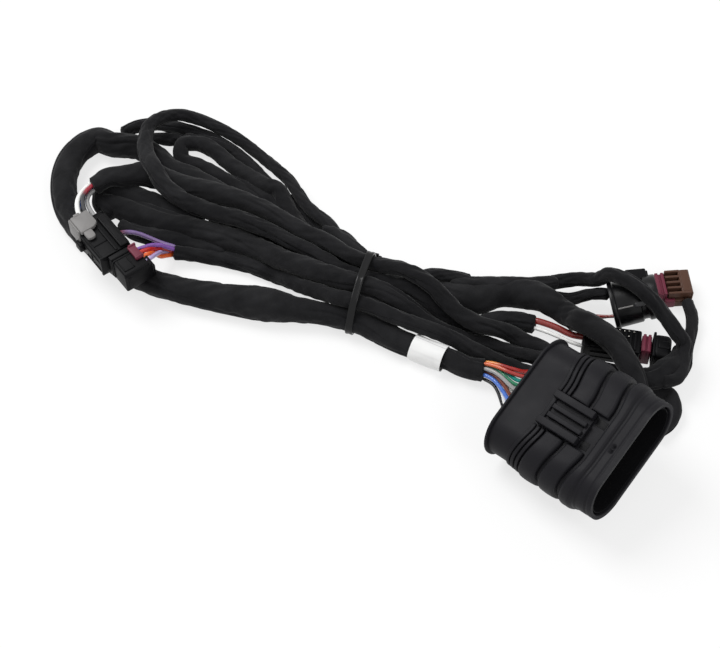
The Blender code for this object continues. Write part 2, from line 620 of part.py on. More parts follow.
def oval_plate(x0, x1):
    """Closed oval plate that fits inside the shell's walls with the seat gap."""
    inner = (OVAL_W / 2 - OVAL_WALL - SEAT_GAP, OVAL_H / 2 - OVAL_WALL - SEAT_GAP)
    return bridge_rings([oval_section(x0, *inner), oval_section(x1, *inner)])


def latch_frame(seat):
    """Latch frame in the saddle: parallel bars along the axis that stand on one floor."""
    floor = OVAL_H / 2 + SEAT_GAP
    low, high = floor + LATCH_FLOOR_T, floor + LATCH_H
    half = LATCH_SADDLE_W / 2 - SEAT_GAP
    pitch = (2 * half - LATCH_BAR_W) / (LATCH_BARS - 1)
    bars = [(-half + k * pitch, -half + k * pitch + LATCH_BAR_W) for k in range(LATCH_BARS)]
    section = [(-half, floor), (half, floor)]
    for k in reversed(range(LATCH_BARS)):
        left, right = bars[k]
        section += [(right, high), (left, high)]
        if k:
            section += [(left, low), (bars[k - 1][1], low)]
    start = -OVAL_L / 2 + LATCH_START
    return add_mesh("latch_frame", extrude_section(section, start, start + LATCH_L), "shell", seat)


def pin_carrier(seat):
    """Pin carrier at the bottom of the mouth."""
    floor = OVAL_L / 2 - OVAL_MOUTH_DEPTH + SEAT_GAP
    return add_mesh("pin_carrier", oval_plate(floor, floor + CARRIER_T), "seal", seat)


def contact_pins(seat):
    """Rows of square contact pins, joined by the plate that stands on the carrier's face."""
    face = OVAL_L / 2 - OVAL_MOUTH_DEPTH + CARRIER_T + 2 * SEAT_GAP
    wide = (PIN_COLUMNS - 1) * PIN_PITCH / 2 + PIN_SIZE
    tall = (PIN_ROWS - 1) * PIN_ROW_PITCH / 2 + PIN_SIZE
    bm = bmesh.new()
    box(bm, (face, -wide, -tall), (face + PIN_PLATE_T, wide, tall))
    plate = add_mesh("contact_pins", bm, "pin", seat)
    half = PIN_SIZE / 2
    boxes = []
    for row in range(PIN_ROWS):
        for column in range(PIN_COLUMNS):
            y = (column - (PIN_COLUMNS - 1) / 2) * PIN_PITCH
            z = (row - (PIN_ROWS - 1) / 2) * PIN_ROW_PITCH
            boxes.append(((face + PIN_PLATE_T / 2, y - half, z - half), (face + PIN_L, y + half, z + half)))
    cut(plate, [guide_boxes("pin_guide", boxes, seat)], "UNION")
    return plate


def wire_seal(seat):
    """Seal plate at the bottom of the rear recess, which the wires enter."""
    floor = -OVAL_L / 2 + OVAL_REAR_DEPTH - SEAT_GAP
    return add_mesh("wire_seal", oval_plate(floor - SEAL_T, floor), "seal", seat)


# Connector pair at the left end

def plug_housing(seat):
    """Plug housing: a long block with a raised key rib and a thin rail beside it."""
    body = add_mesh("plug_housing", rounded_block((PLUG_L, PLUG_W, PLUG_H), PAIR_EDGE), "shell", seat)
    x, y, top = PLUG_L / 2, PLUG_W / 2 - PAIR_EDGE, PLUG_H / 2
    rail_y = y - PLUG_RIB_W - PLUG_RAIL_W - 1.2 * MM
    boxes = [((-x + PLUG_RIB_INSET, y - PLUG_RIB_W, top - PAIR_EDGE), (x - PAIR_EDGE, y, top + PLUG_RIB_H)),
             ((-x + PLUG_RIB_INSET, rail_y, top - PAIR_EDGE),
              (x - PAIR_EDGE, rail_y + PLUG_RAIL_W, top + PLUG_RIB_H / 2))]
    cut(body, [guide_boxes("plug_rib_guide", boxes, seat)], "UNION")
    return body


def grey_lock(seat):
    """Light grey lock, pushed home over the plug's rear corner: a plate with a side skirt and fingers."""
    side, top = PLUG_W / 2 + SEAT_GAP, PLUG_H / 2 + SEAT_GAP
    inner = PLUG_W / 2 - PAIR_EDGE - PLUG_RIB_W - PLUG_RAIL_W - 2.4 * MM
    section = [(-side - GREY_LOCK_T, -GREY_SKIRT), (-side, -GREY_SKIRT), (-side, top), (inner, top),
               (inner, top + GREY_LOCK_T), (-side - GREY_LOCK_T, top + GREY_LOCK_T)]
    start = -PLUG_L / 2 - GREY_OVERHANG
    lock = add_mesh("grey_lock", extrude_section(section, start, start + GREY_LOCK_L), "grey_plastic", seat)
    notch, depth = 1.5 * MM, 2.6 * MM
    spots = (-side + 0.4 * MM, -side + 4.0 * MM)
    boxes = [((start - notch, y, top - notch), (start + depth, y + notch, top + 2 * GREY_LOCK_T)) for y in spots]
    cut(lock, [guide_boxes("finger_guide", boxes, seat)])
    return lock


def socket_housing(seat):
    """Socket housing: a rounded block with a raised mating collar round its plug side."""
    size = (SOCKET_L, SOCKET_W, SOCKET_H)
    body = add_mesh("socket_housing", rounded_block(size, PAIR_EDGE), "shell", seat)
    x, y, z = (v / 2 for v in size)
    rise = SOCKET_COLLAR_RISE
    boxes = [((-x + PAIR_EDGE, -y - rise, -z + PAIR_EDGE), (-x + SOCKET_COLLAR_L, y - 3 * PAIR_EDGE, z + rise))]
    cut(body, [guide_boxes("collar_guide", boxes, seat)], "UNION")
    return body


def socket_lock(seat):
    """Magenta lock bar, pushed home along the socket's wire edge."""
    y, top = SOCKET_W / 2, SOCKET_H / 2 + SEAT_GAP
    bm = bmesh.new()
    box(bm, (-SOCKET_LOCK_L / 2 + 1.0 * MM, y - SOCKET_LOCK_W - PAIR_EDGE, top),
        (SOCKET_LOCK_L / 2 + 1.0 * MM, y - PAIR_EDGE, top + SOCKET_LOCK_H))
    bmesh.ops.bevel(bm, geom=bm.edges[:], offset=0.3 * MM, segments=1, affect="EDGES")
    return add_mesh("socket_lock", bm, "magenta", seat)


# Right end

def boot(seat):
    """Round boot: a turned shell with a rim, a groove, a rear recess for its wires and a front mouth."""
    r, half = BOOT_D / 2, BOOT_L / 2
    inner = r - BOOT_WALL
    front = r - BOOT_RIM
    stations = [(-half + BOOT_RECESS, inner - BOOT_RIM), (-half, inner), (-half, r), (-half + 2.0 * MM, r),
                (-half + 2.6 * MM, front), (half * 0.2, front - 0.3 * MM), (half * 0.25, front - BOOT_WALL * 0.6),
                (half * 0.42, front - BOOT_WALL * 0.6), (half * 0.47, front - 0.3 * MM), (half, front - 0.6 * MM),
                (half, front - BOOT_WALL), (half - BOOT_MOUTH, front - BOOT_WALL)]
    return add_mesh("round_boot", turned(stations), "shell", seat)


def sensor_plug(seat):
    """Brown sensor plug: a small rounded block with a row of open slots in its top."""
    size = (SENSOR_L, SENSOR_W, SENSOR_H)
    body = add_mesh("sensor_plug", rounded_block(size, SENSOR_EDGE), "brown_plastic", seat)
    pitch = (SENSOR_W - 2 * SENSOR_EDGE) / SENSOR_SLOTS
    low = SENSOR_H / 2 - SENSOR_SLOT_DEPTH
    boxes = []
    for k in range(SENSOR_SLOTS):
        y = -SENSOR_W / 2 + SENSOR_EDGE + (k + 0.5) * pitch
        boxes.append(((-SENSOR_L, y - SENSOR_SLOT_W / 2, low),
                      (SENSOR_L * 0.08, y + SENSOR_SLOT_W / 2, SENSOR_H)))
    cut(body, [guide_boxes("slot_guide", boxes, seat)])
    return body


def sensor_lock(seat):
    """Magenta lock, pushed home against the sensor plug's mating side, with two grooves across it."""
    edge = -SENSOR_L / 2 - SEAT_GAP
    bm = bmesh.new()
    half = SENSOR_W / 2 - SENSOR_EDGE
    box(bm, (edge - SENSOR_LOCK_L, -half, -SENSOR_H / 2), (edge, half, SENSOR_H / 2 - SENSOR_EDGE))
    bmesh.ops.bevel(bm, geom=bm.edges[:], offset=0.5 * MM, segments=1, affect="EDGES")
    lock = add_mesh("sensor_lock", bm, "magenta", seat)
    wide, deep = 0.9 * MM, 1.0 * MM
    top = SENSOR_H / 2 - SENSOR_EDGE - deep
    boxes = [((edge - SENSOR_LOCK_L * share, -SENSOR_W, top), (edge - SENSOR_LOCK_L * share + wide, SENSOR_W, top + SENSOR_H))
             for share in (0.45, 0.8)]
    cut(lock, [guide_boxes("groove_guide", boxes, seat)])
    return lock


def rear_plug(seat):
    """Rear plug under the main loom: a rounded block with a collar and fine ribs on its top."""
    size = (REAR_PLUG_L, REAR_PLUG_W, REAR_PLUG_H)
    body = add_mesh("rear_plug", rounded_block(size, PAIR_EDGE), "shell", seat)
    x, y, z = (v / 2 for v in size)
    rise = 0.7 * MM
    boxes = [((-x + PAIR_EDGE, -y - rise, -z + PAIR_EDGE), (-x + 3.4 * MM, y + rise, z + rise))]
    boxes += [((x - k * 2.2 * MM - 1.1 * MM, -y + PAIR_EDGE, z - PAIR_EDGE), (x - k * 2.2 * MM, y - PAIR_EDGE, z + rise))
              for k in range(1, REAR_PLUG_RIBS + 1)]
    cut(body, [guide_boxes("rear_rib_guide", boxes, seat)], "UNION")
    return body


def rear_lock(seat):
    """Magenta lock, pushed home at the rear plug's far end."""
    edge = REAR_PLUG_L / 2 + SEAT_GAP
    bm = bmesh.new()
    half = REAR_PLUG_W / 2 - 2 * PAIR_EDGE
    box(bm, (edge, -half, -REAR_PLUG_H / 2), (edge + REAR_LOCK_L, half, REAR_PLUG_H / 2 - PAIR_EDGE))
    bmesh.ops.bevel(bm, geom=bm.edges[:], offset=0.5 * MM, segments=1, affect="EDGES")
    return add_mesh("rear_lock", bm, "magenta", seat)


def rear_cap(seat):
    """Black cap past the rear plug's lock: the mating half, a block with well rounded edges."""
    bm = rounded_block((REAR_CAP_L, REAR_PLUG_W, REAR_PLUG_H), REAR_CAP_EDGE)
    start = REAR_PLUG_L / 2 + REAR_LOCK_L + 2 * SEAT_GAP
    bmesh.ops.translate(bm, vec=(start + REAR_CAP_L / 2, 0, 0), verts=bm.verts)
    return add_mesh("rear_cap", bm, "shell", seat)


# Wires

def wire_faces(seats):
    """For each connector: its matrix, a function from spot to local point, and the way out of its wire face."""
    back, side = Vector((-1, 0, 0)), Vector((0, 1, 0))
    seal = -OVAL_L / 2 + OVAL_REAR_DEPTH - SEAL_T - 2 * SEAT_GAP
    return {
        "oval": (seats["oval"], lambda a, b: Vector((seal, a, b)), back),
        "plug": (seats["plug"], lambda a, b: Vector((-PLUG_L / 2 - SEAT_GAP, a, b)), back),
        "socket": (seats["socket"], lambda a, b: Vector((a, SOCKET_W / 2 + SEAT_GAP, b)), side),
        "rear_plug": (seats["rear_plug"], lambda a, b: Vector((-REAR_PLUG_L / 2 - SEAT_GAP, a, b)), back),
        "plug_side": (seats["plug"], lambda a, b: Vector((a, PLUG_W / 2 + SEAT_GAP, b)), side),
        "boot": (seats["boot"], lambda a, b: Vector((-BOOT_L / 2 + BOOT_RECESS - SEAT_GAP, a, b)), back),
    }


def loom_end(path, end):
    """Middle, outward way, right and up of a loom's end face."""
    tip, inner = (path[0], path[1]) if end == 0 else (path[-1], path[-2])
    way = (tip - inner) / np.linalg.norm(tip - inner)
    right = np.cross(way, [0, 0, 1.0])
    right /= np.linalg.norm(right)
    return tip, way, right, np.cross(right, way)


def wire_path(start, start_way, finish, finish_way):
    """Bezier curve that leaves its two faces squarely."""
    reach = np.linalg.norm(finish - start) * 0.36
    a, b, c, d = start, start + start_way * reach, finish + finish_way * reach, finish
    t = np.linspace(0, 1, WIRE_POINTS)[:, None]
    return a * (1 - t) ** 3 + 3 * b * t * (1 - t) ** 2 + 3 * c * t ** 2 * (1 - t) + d * t ** 3


def add_wires(seats, paths, radii, blocks):
    """Lays every wire between its loom and its connector, settles them together and adds them."""
    faces = wire_faces(seats)
    raw, sizes = [], []
    for colour, width, connector, spot, loom, end, at in WIRES.values():
        seat, local, way = faces[connector]
        finish = np.array(seat @ local(spot[0] * MM, spot[1] * MM))
        finish_way = np.array((seat.to_3x3() @ way).normalized())
        if loom is None:
            start, out = np.array(at) * MM - np.array(HANK_MIDDLE), np.array([0.6, 0.8, 0.0])
        else:
            tip, out, right, up = loom_end(paths[loom], end)
            start = tip + out * (SEAT_GAP + WIRE_GAP) + right * at[0] * MM + up * at[1] * MM
        raw.append(wire_path(start, out, finish, finish_way))
        sizes.append(np.full(WIRE_POINTS, width * MM / 2))
    kept = [(paths[name], radii[name]) for name in LOOMS]
    laid = settle(raw, sizes, WIRE_GAP, blocks, kept, skip_ends=2, rounds=160, hold=0.05, weight=0.0)
    for (name, entry), path, size in zip(WIRES.items(), laid, sizes):
        add_cord(name, path, size, entry[0], WIRE_SIDES)


# Tie and label

def strap_outline(paths, radii, clear, width):
    """Outline round every loom that passes the tie: the hull of their round sections, as (across, up)."""
    ahead = np.array([math.cos(TIE_TURN), math.sin(TIE_TURN), 0.0])
    side = np.array([-math.sin(TIE_TURN), math.cos(TIE_TURN), 0.0])
    middle = np.array([*TIE_PLACE, 0.0]) - np.array(HANK_MIDDLE)
    spots, reach = [], []
    for path, radius in zip(paths, radii):
        t = np.linspace(0, 1, 12, endpoint=False)[:, None, None]
        fine = (path[None, :-1] * (1 - t) + path[None, 1:] * t).reshape(-1, 3) - middle
        thick = (radius[None, :-1] * (1 - t[..., 0]) + radius[None, 1:] * t[..., 0]).ravel()
        off = np.maximum(np.abs(fine @ ahead) - width / 2, 0.0)
        near = (off < thick) & (np.abs(fine @ side) < 40 * MM)
        spots.append(np.column_stack([fine[near] @ side, fine[near][:, 2]]))
        reach.append(np.sqrt(thick[near] ** 2 - off[near] ** 2))
    spots, reach = np.vstack(spots), np.concatenate(reach) + clear
    turns = np.linspace(0, 2 * math.pi, TIE_SIDES, endpoint=False)
    way = np.column_stack([np.cos(turns), np.sin(turns)])
    support = (spots @ way.T + reach[:, None]).max(axis=0)
    lean = np.roll(support, -1)
    next_way = np.roll(way, -1, axis=0)
    cross = way[:, 0] * next_way[:, 1] - way[:, 1] * next_way[:, 0]
    x = (support * next_way[:, 1] - lean * way[:, 1]) / cross
    y = (lean * way[:, 0] - support * next_way[:, 0]) / cross
    return np.column_stack([x, y]), ahead, side, middle


def cable_tie(paths, radii):
    """Cable tie: a flat strap pulled round the looms, with its square head and cut tail in one moulding."""
    inner, ahead, side, middle = strap_outline(paths, radii, SEAT_GAP, TIE_STRAP_W)
    outer = strap_outline(paths, radii, SEAT_GAP + TIE_STRAP_T, TIE_STRAP_W)[0]
    inner[:, 1] = np.maximum(inner[:, 1], TIE_STRAP_T)
    outer[:, 1] = np.maximum(outer[:, 1], 0.0)
    bm = bmesh.new()
    rings = []
    for outline, x in ((inner, -TIE_STRAP_W / 2), (outer, -TIE_STRAP_W / 2),
                       (outer, TIE_STRAP_W / 2), (inner, TIE_STRAP_W / 2)):
        rings.append([bm.verts.new(middle + side * a + ahead * x + np.array([0, 0, b])) for a, b in outline])
    for near, far in zip(rings, rings[1:] + rings[:1]):
        for i in range(len(near)):
            j = (i + 1) % len(near)
            bm.faces.new((near[i], near[j], far[j], far[i]))
    strap = add_mesh("cable_tie", bm, "tie")
    head = Matrix.Translation(Vector(middle)) @ Matrix(np.column_stack([ahead, side, [0, 0, 1]]).tolist()).to_4x4()
    k = int(np.argmax(outer @ np.array([math.cos(TIE_HEAD_TURN), math.sin(TIE_HEAD_TURN)])))
    turn = Matrix.Rotation(TIE_HEAD_TURN, 4, "X")
    spot = Matrix.Translation(Vector((0, *outer[k])))
    seat = bpy.data.objects.new("tie_seat", None)
    bpy.context.scene.collection.objects.link(seat)
    seat.matrix_world = head @ spot @ turn
    sink = TIE_STRAP_T * 0.6
    boxes = [((-TIE_HEAD_W / 2, -sink, -TIE_HEAD_L / 2), (TIE_HEAD_W / 2, TIE_HEAD_H - sink, TIE_HEAD_L / 2)),
             ((-TIE_STRAP_W / 2, TIE_HEAD_H - 2.4 * MM, TIE_HEAD_L / 2 - 1.0 * MM),
              (TIE_STRAP_W / 2, TIE_HEAD_H - 2.4 * MM + TIE_STRAP_T, TIE_HEAD_L / 2 + TIE_TAIL))]
    guides = [guide_boxes(f"tie_guide_{k}", [b], seat) for k, b in enumerate(boxes)]
    cut(strap, guides, "UNION")
    return strap


def label_room(path):
    """How much more room the main loom takes at each of its points, where the label is wrapped round it."""
    along = np.concatenate([[0], np.cumsum(np.linalg.norm(np.diff(path, axis=0), axis=1))])
    covered = (along > LABEL_PLACE - LOOM_STEP) & (along < LABEL_PLACE + LABEL_L + LOOM_STEP)
    return covered * (SEAT_GAP + LABEL_SLACK + LABEL_T)


def label_sleeve(path, radius):
    """Paper label wrapped round the main loom, a thin open sleeve that follows its bend."""
    along = np.concatenate([[0], np.cumsum(np.linalg.norm(np.diff(path, axis=0), axis=1))])
    marks = np.linspace(LABEL_PLACE, LABEL_PLACE + LABEL_L, LABEL_RINGS)
    spots = np.stack([np.interp(marks, along, path[:, k]) for k in range(3)], axis=1)
    ways = np.gradient(spots, axis=0)
    ways /= np.linalg.norm(ways, axis=1)[:, None]
    reach = np.interp(marks, along, radius).max() + SEAT_GAP + LABEL_SLACK
    turns = np.linspace(0, 2 * math.pi, LABEL_SIDES, endpoint=False)
    order = list(range(LABEL_RINGS))
    rings = []
    bm = bmesh.new()
    for size, stations in ((reach, order), (reach + LABEL_T, order[::-1])):
        for k in stations:
            right = np.cross(ways[k], [0, 0, 1.0])
            right /= np.linalg.norm(right)
            up = np.cross(right, ways[k])
            rings.append([bm.verts.new(spots[k] + (right * math.cos(t) + up * math.sin(t)) * size) for t in turns])
    for near, far in zip(rings, rings[1:] + rings[:1]):
        for i in range(len(near)):
            j = (i + 1) % len(near)
            bm.faces.new((near[i], near[j], far[j], far[i]))
    return add_mesh("label_sleeve", bm, "paper")


def connector_blocks(seats):
    """Boxes that looms and wires keep out of: turn and middle, half sizes, and whether it is round about X."""
    beyond = REAR_LOCK_L + REAR_CAP_L + 2 * SEAT_GAP
    rear_long = REAR_PLUG_L + beyond
    shifts = {"rear_plug": (beyond / 2, 0, 0), "sensor": (-SENSOR_LOCK_L / 2, 0, 0)}
    sizes = {
        "oval": (OVAL_L, OVAL_W + 2 * OVAL_RIDGE_RISE, OVAL_H + 2 * OVAL_RIDGE_RISE),
        "plug": (PLUG_L, PLUG_W, PLUG_H),
        "socket": (SOCKET_L, SOCKET_W + 2 * SOCKET_COLLAR_RISE, SOCKET_H + 2 * SOCKET_COLLAR_RISE),
        "boot": (BOOT_L, BOOT_D, BOOT_D),
        "sensor": (SENSOR_L + SENSOR_LOCK_L, SENSOR_W, SENSOR_H),
        "rear_plug": (rear_long, REAR_PLUG_W + 2 * PAIR_EDGE, REAR_PLUG_H + 2 * PAIR_EDGE),
    }
    blocks = []
    for name, size in sizes.items():
        matrix = seats[name] @ Matrix.Translation(shifts.get(name, (0, 0, 0)))
        blocks.append(((np.array(matrix.to_3x3()), np.array(matrix.translation)), np.array(size) / 2 + CORNER_ROOM,
                       name == "boot"))
    return blocks


def build():
    """Builds the whole harness: connectors, then looms round them, then wires, tie and label."""
    clear_scene()
    places = {"oval": OVAL_PLACE, "plug": PLUG_PLACE, "boot": BOOT_PLACE, "sensor": SENSOR_PLACE,
              "rear_plug": REAR_PLUG_PLACE}
    seats = {name: seat_matrix(place) for name, place in places.items()}
    seats["socket"] = seats["plug"] @ Matrix.Translation((PLUG_L / 2 + SOCKET_L / 2 + SEAT_GAP, 0, 0))
    empties = {}
    for name, matrix in seats.items():
        empties[name] = bpy.data.objects.new(f"{name}_seat", None)
        bpy.context.scene.collection.objects.link(empties[name])
        empties[name].matrix_world = matrix

    for piece in (oval_shell, latch_frame, pin_carrier, contact_pins, wire_seal):
        piece(empties["oval"])
    plug_housing(empties["plug"])
    grey_lock(empties["plug"])
    socket_housing(empties["socket"])
    socket_lock(empties["socket"])
    boot(empties["boot"])
    sensor_plug(empties["sensor"])
    sensor_lock(empties["sensor"])
    rear_plug(empties["rear_plug"])
    rear_lock(empties["rear_plug"])
    rear_cap(empties["rear_plug"])

    blocks = connector_blocks(seats)
    raw = [smooth_path(loom_route(entry), LOOM_STEP) for entry in LOOMS.values()]
    sizes = [loom_radii(path, entry["girth"]) for path, entry in zip(raw, LOOMS.values())]
    room = dict(zip(LOOMS, (size.copy() for size in sizes)))
    room["main_loom"] += label_room(raw[list(LOOMS).index("main_loom")])
    laid = settle(raw, list(room.values()), LOOM_GAP, blocks)
    paths = dict(zip(LOOMS, laid))
    radii = dict(zip(LOOMS, sizes))
    for name in LOOMS:
        add_cord(name, paths[name], radii[name], "tape", LOOM_SIDES)
    add_wires(seats, paths, radii, blocks)
    cable_tie(laid, sizes)
    label_sleeve(paths["main_loom"], radii["main_loom"])


build()
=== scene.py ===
# %% [markdown]
# # A wiring harness, dressed over its CAD solids
#
# A wiring harness is a bundle of wires that are taped into looms and end in connectors. This one is
# folded into a flat hank, and one cable tie holds it. The CAD model gives the sizes and the places.
# Here each solid gets the surface that the eye expects: tape with its folds and overlaps, glossy wire
# insulation, moulded plastic with ribs and rounded edges.

# %% Tools and the CAD frame
import math

import bpy
import numpy as np
from mathutils import Matrix, Vector


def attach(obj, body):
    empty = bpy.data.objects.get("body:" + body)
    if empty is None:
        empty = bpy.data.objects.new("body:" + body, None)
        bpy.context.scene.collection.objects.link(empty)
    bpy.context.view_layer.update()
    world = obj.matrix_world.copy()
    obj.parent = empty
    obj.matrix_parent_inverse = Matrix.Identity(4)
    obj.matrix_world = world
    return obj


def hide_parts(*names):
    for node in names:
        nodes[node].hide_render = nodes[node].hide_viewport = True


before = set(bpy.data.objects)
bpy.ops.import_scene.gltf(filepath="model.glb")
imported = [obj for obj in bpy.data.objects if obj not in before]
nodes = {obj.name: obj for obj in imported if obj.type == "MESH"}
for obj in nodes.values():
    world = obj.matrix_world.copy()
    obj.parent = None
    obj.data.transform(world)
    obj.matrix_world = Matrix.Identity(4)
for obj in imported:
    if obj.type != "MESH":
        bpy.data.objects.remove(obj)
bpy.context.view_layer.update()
MM = 0.001
print(f"{len(nodes)} solids come from the CAD model")

# %% [markdown]
# ## Camera
#
# The photograph looks down on the hank from the front. The camera stands 55 degrees above the table, far
# enough away for little perspective. A camera object can be aimed by turning its local Z axis along the
# line from the target to the camera, so no constraint is left behind for the export.

# %% Camera
LENS = 85.0
SENSOR = 36.0
ELEVATION = math.radians(55.0)
DISTANCE = 0.8
HANK_MIDDLE = Vector((1.8 * MM, 11.9 * MM, 0.0))
TARGET = Vector((0.0, 0.0, 10.0 * MM)) - HANK_MIDDLE

camera_data = bpy.data.cameras.new("camera")
camera_data.lens, camera_data.sensor_width = LENS, SENSOR
camera = bpy.data.objects.new("camera", camera_data)
bpy.context.scene.collection.objects.link(camera)
backwards = Vector((0.0, -math.cos(ELEVATION), math.sin(ELEVATION)))
camera.location = TARGET + backwards * DISTANCE
camera.rotation_euler = backwards.to_track_quat("Z", "Y").to_euler()
bpy.context.scene.camera = camera
print("camera at", [round(v, 3) for v in camera.location])

# %% [markdown]
# ## Where the connectors lie
#
# Each connector is modelled round its own middle, with +X along its mating direction, and then put in
# its place by one matrix. The places are the same values that the CAD model uses. The matrix is applied
# to the points before they go into a mesh, so every object stays at the origin, unturned. The boot and
# the rear plug are drawn a little off these places further down, where the photograph shows them.

# %% Places of the connectors
OVAL_PLACE = ((95.6, -68.4, 28.0), (20.5, -10.0, -43.2))
PLUG_PLACE = ((-122.5, 42.5, 19.4), (0.0, 0.0, -53.0))
BOOT_PLACE = ((130.4, 12.0, 13.2), (0.0, -4.0, 23.0))
SENSOR_PLACE = ((152.6, 25.0, 5.0), (0.0, 0.0, 5.0))
REAR_PLUG_PLACE = ((121.0, -11.3, 7.2), (0.0, 0.0, -10.0))
SEAT_GAP, LOOM_GAP, WIRE_GAP, CORNER_ROOM = 0.3 * MM, 0.4 * MM, 0.25 * MM, 0.9 * MM

OVAL_L, OVAL_W, OVAL_H, OVAL_RIDGE_RISE = 59.6 * MM, 58.6 * MM, 25.0 * MM, 2.4 * MM
OVAL_WALL, OVAL_REAR_DEPTH, OVAL_MOUTH_DEPTH, SEAL_T = 2.0 * MM, 9.0 * MM, 24.0 * MM, 4.0 * MM
PLUG_L, PLUG_W, PLUG_H = 24.0 * MM, 12.5 * MM, 12.0 * MM
SOCKET_L, SOCKET_W, SOCKET_H, SOCKET_COLLAR_RISE = 15.0 * MM, 15.0 * MM, 12.5 * MM, 0.8 * MM
BOOT_D, BOOT_L, BOOT_RECESS = 24.4 * MM, 22.0 * MM, 3.0 * MM
SENSOR_L, SENSOR_W, SENSOR_H, SENSOR_LOCK_L = 11.5 * MM, 14.0 * MM, 10.0 * MM, 4.8 * MM
REAR_PLUG_L, REAR_PLUG_W, REAR_PLUG_H = 27.0 * MM, 13.0 * MM, 11.5 * MM
REAR_LOCK_L, REAR_CAP_L, PAIR_EDGE = 4.6 * MM, 9.0 * MM, 1.0 * MM
HANK_SHIFT = np.array(HANK_MIDDLE)


def seat_matrix(place):
    """Matrix of a connector: its middle in millimetres, then roll about X, pitch about Y, yaw about Z."""
    middle, turns = place
    roll, pitch, yaw = (math.radians(t) for t in turns)
    turn = Matrix.Rotation(yaw, 4, "Z") @ Matrix.Rotation(pitch, 4, "Y") @ Matrix.Rotation(roll, 4, "X")
    return Matrix.Translation(Vector(middle) * MM - HANK_MIDDLE) @ turn


def turn_and_middle(matrix):
    """A matrix as two arrays: its turn, and the middle that it moves to."""
    return np.array(matrix.to_3x3()), np.array(matrix.translation)


seats = {"oval": seat_matrix(OVAL_PLACE), "plug": seat_matrix(PLUG_PLACE), "boot": seat_matrix(BOOT_PLACE),
         "sensor": seat_matrix(SENSOR_PLACE), "rear_plug": seat_matrix(REAR_PLUG_PLACE)}
seats["socket"] = seats["plug"] @ Matrix.Translation((PLUG_L / 2 + SOCKET_L / 2 + SEAT_GAP, 0, 0))
print("seats:", ", ".join(seats))

# %% [markdown]
# ## Routes of the looms
#
# A cord is settled before it is drawn: where it leaves, how thick it is, which way it runs. Each loom
# has a few spots that it passes, in millimetres, and girths at shares of its length. All of them pass
# the cable tie, so a name stands for that loom's lane in the tie's opening, towards +X, or towards -X
# where a minus sign leads it.

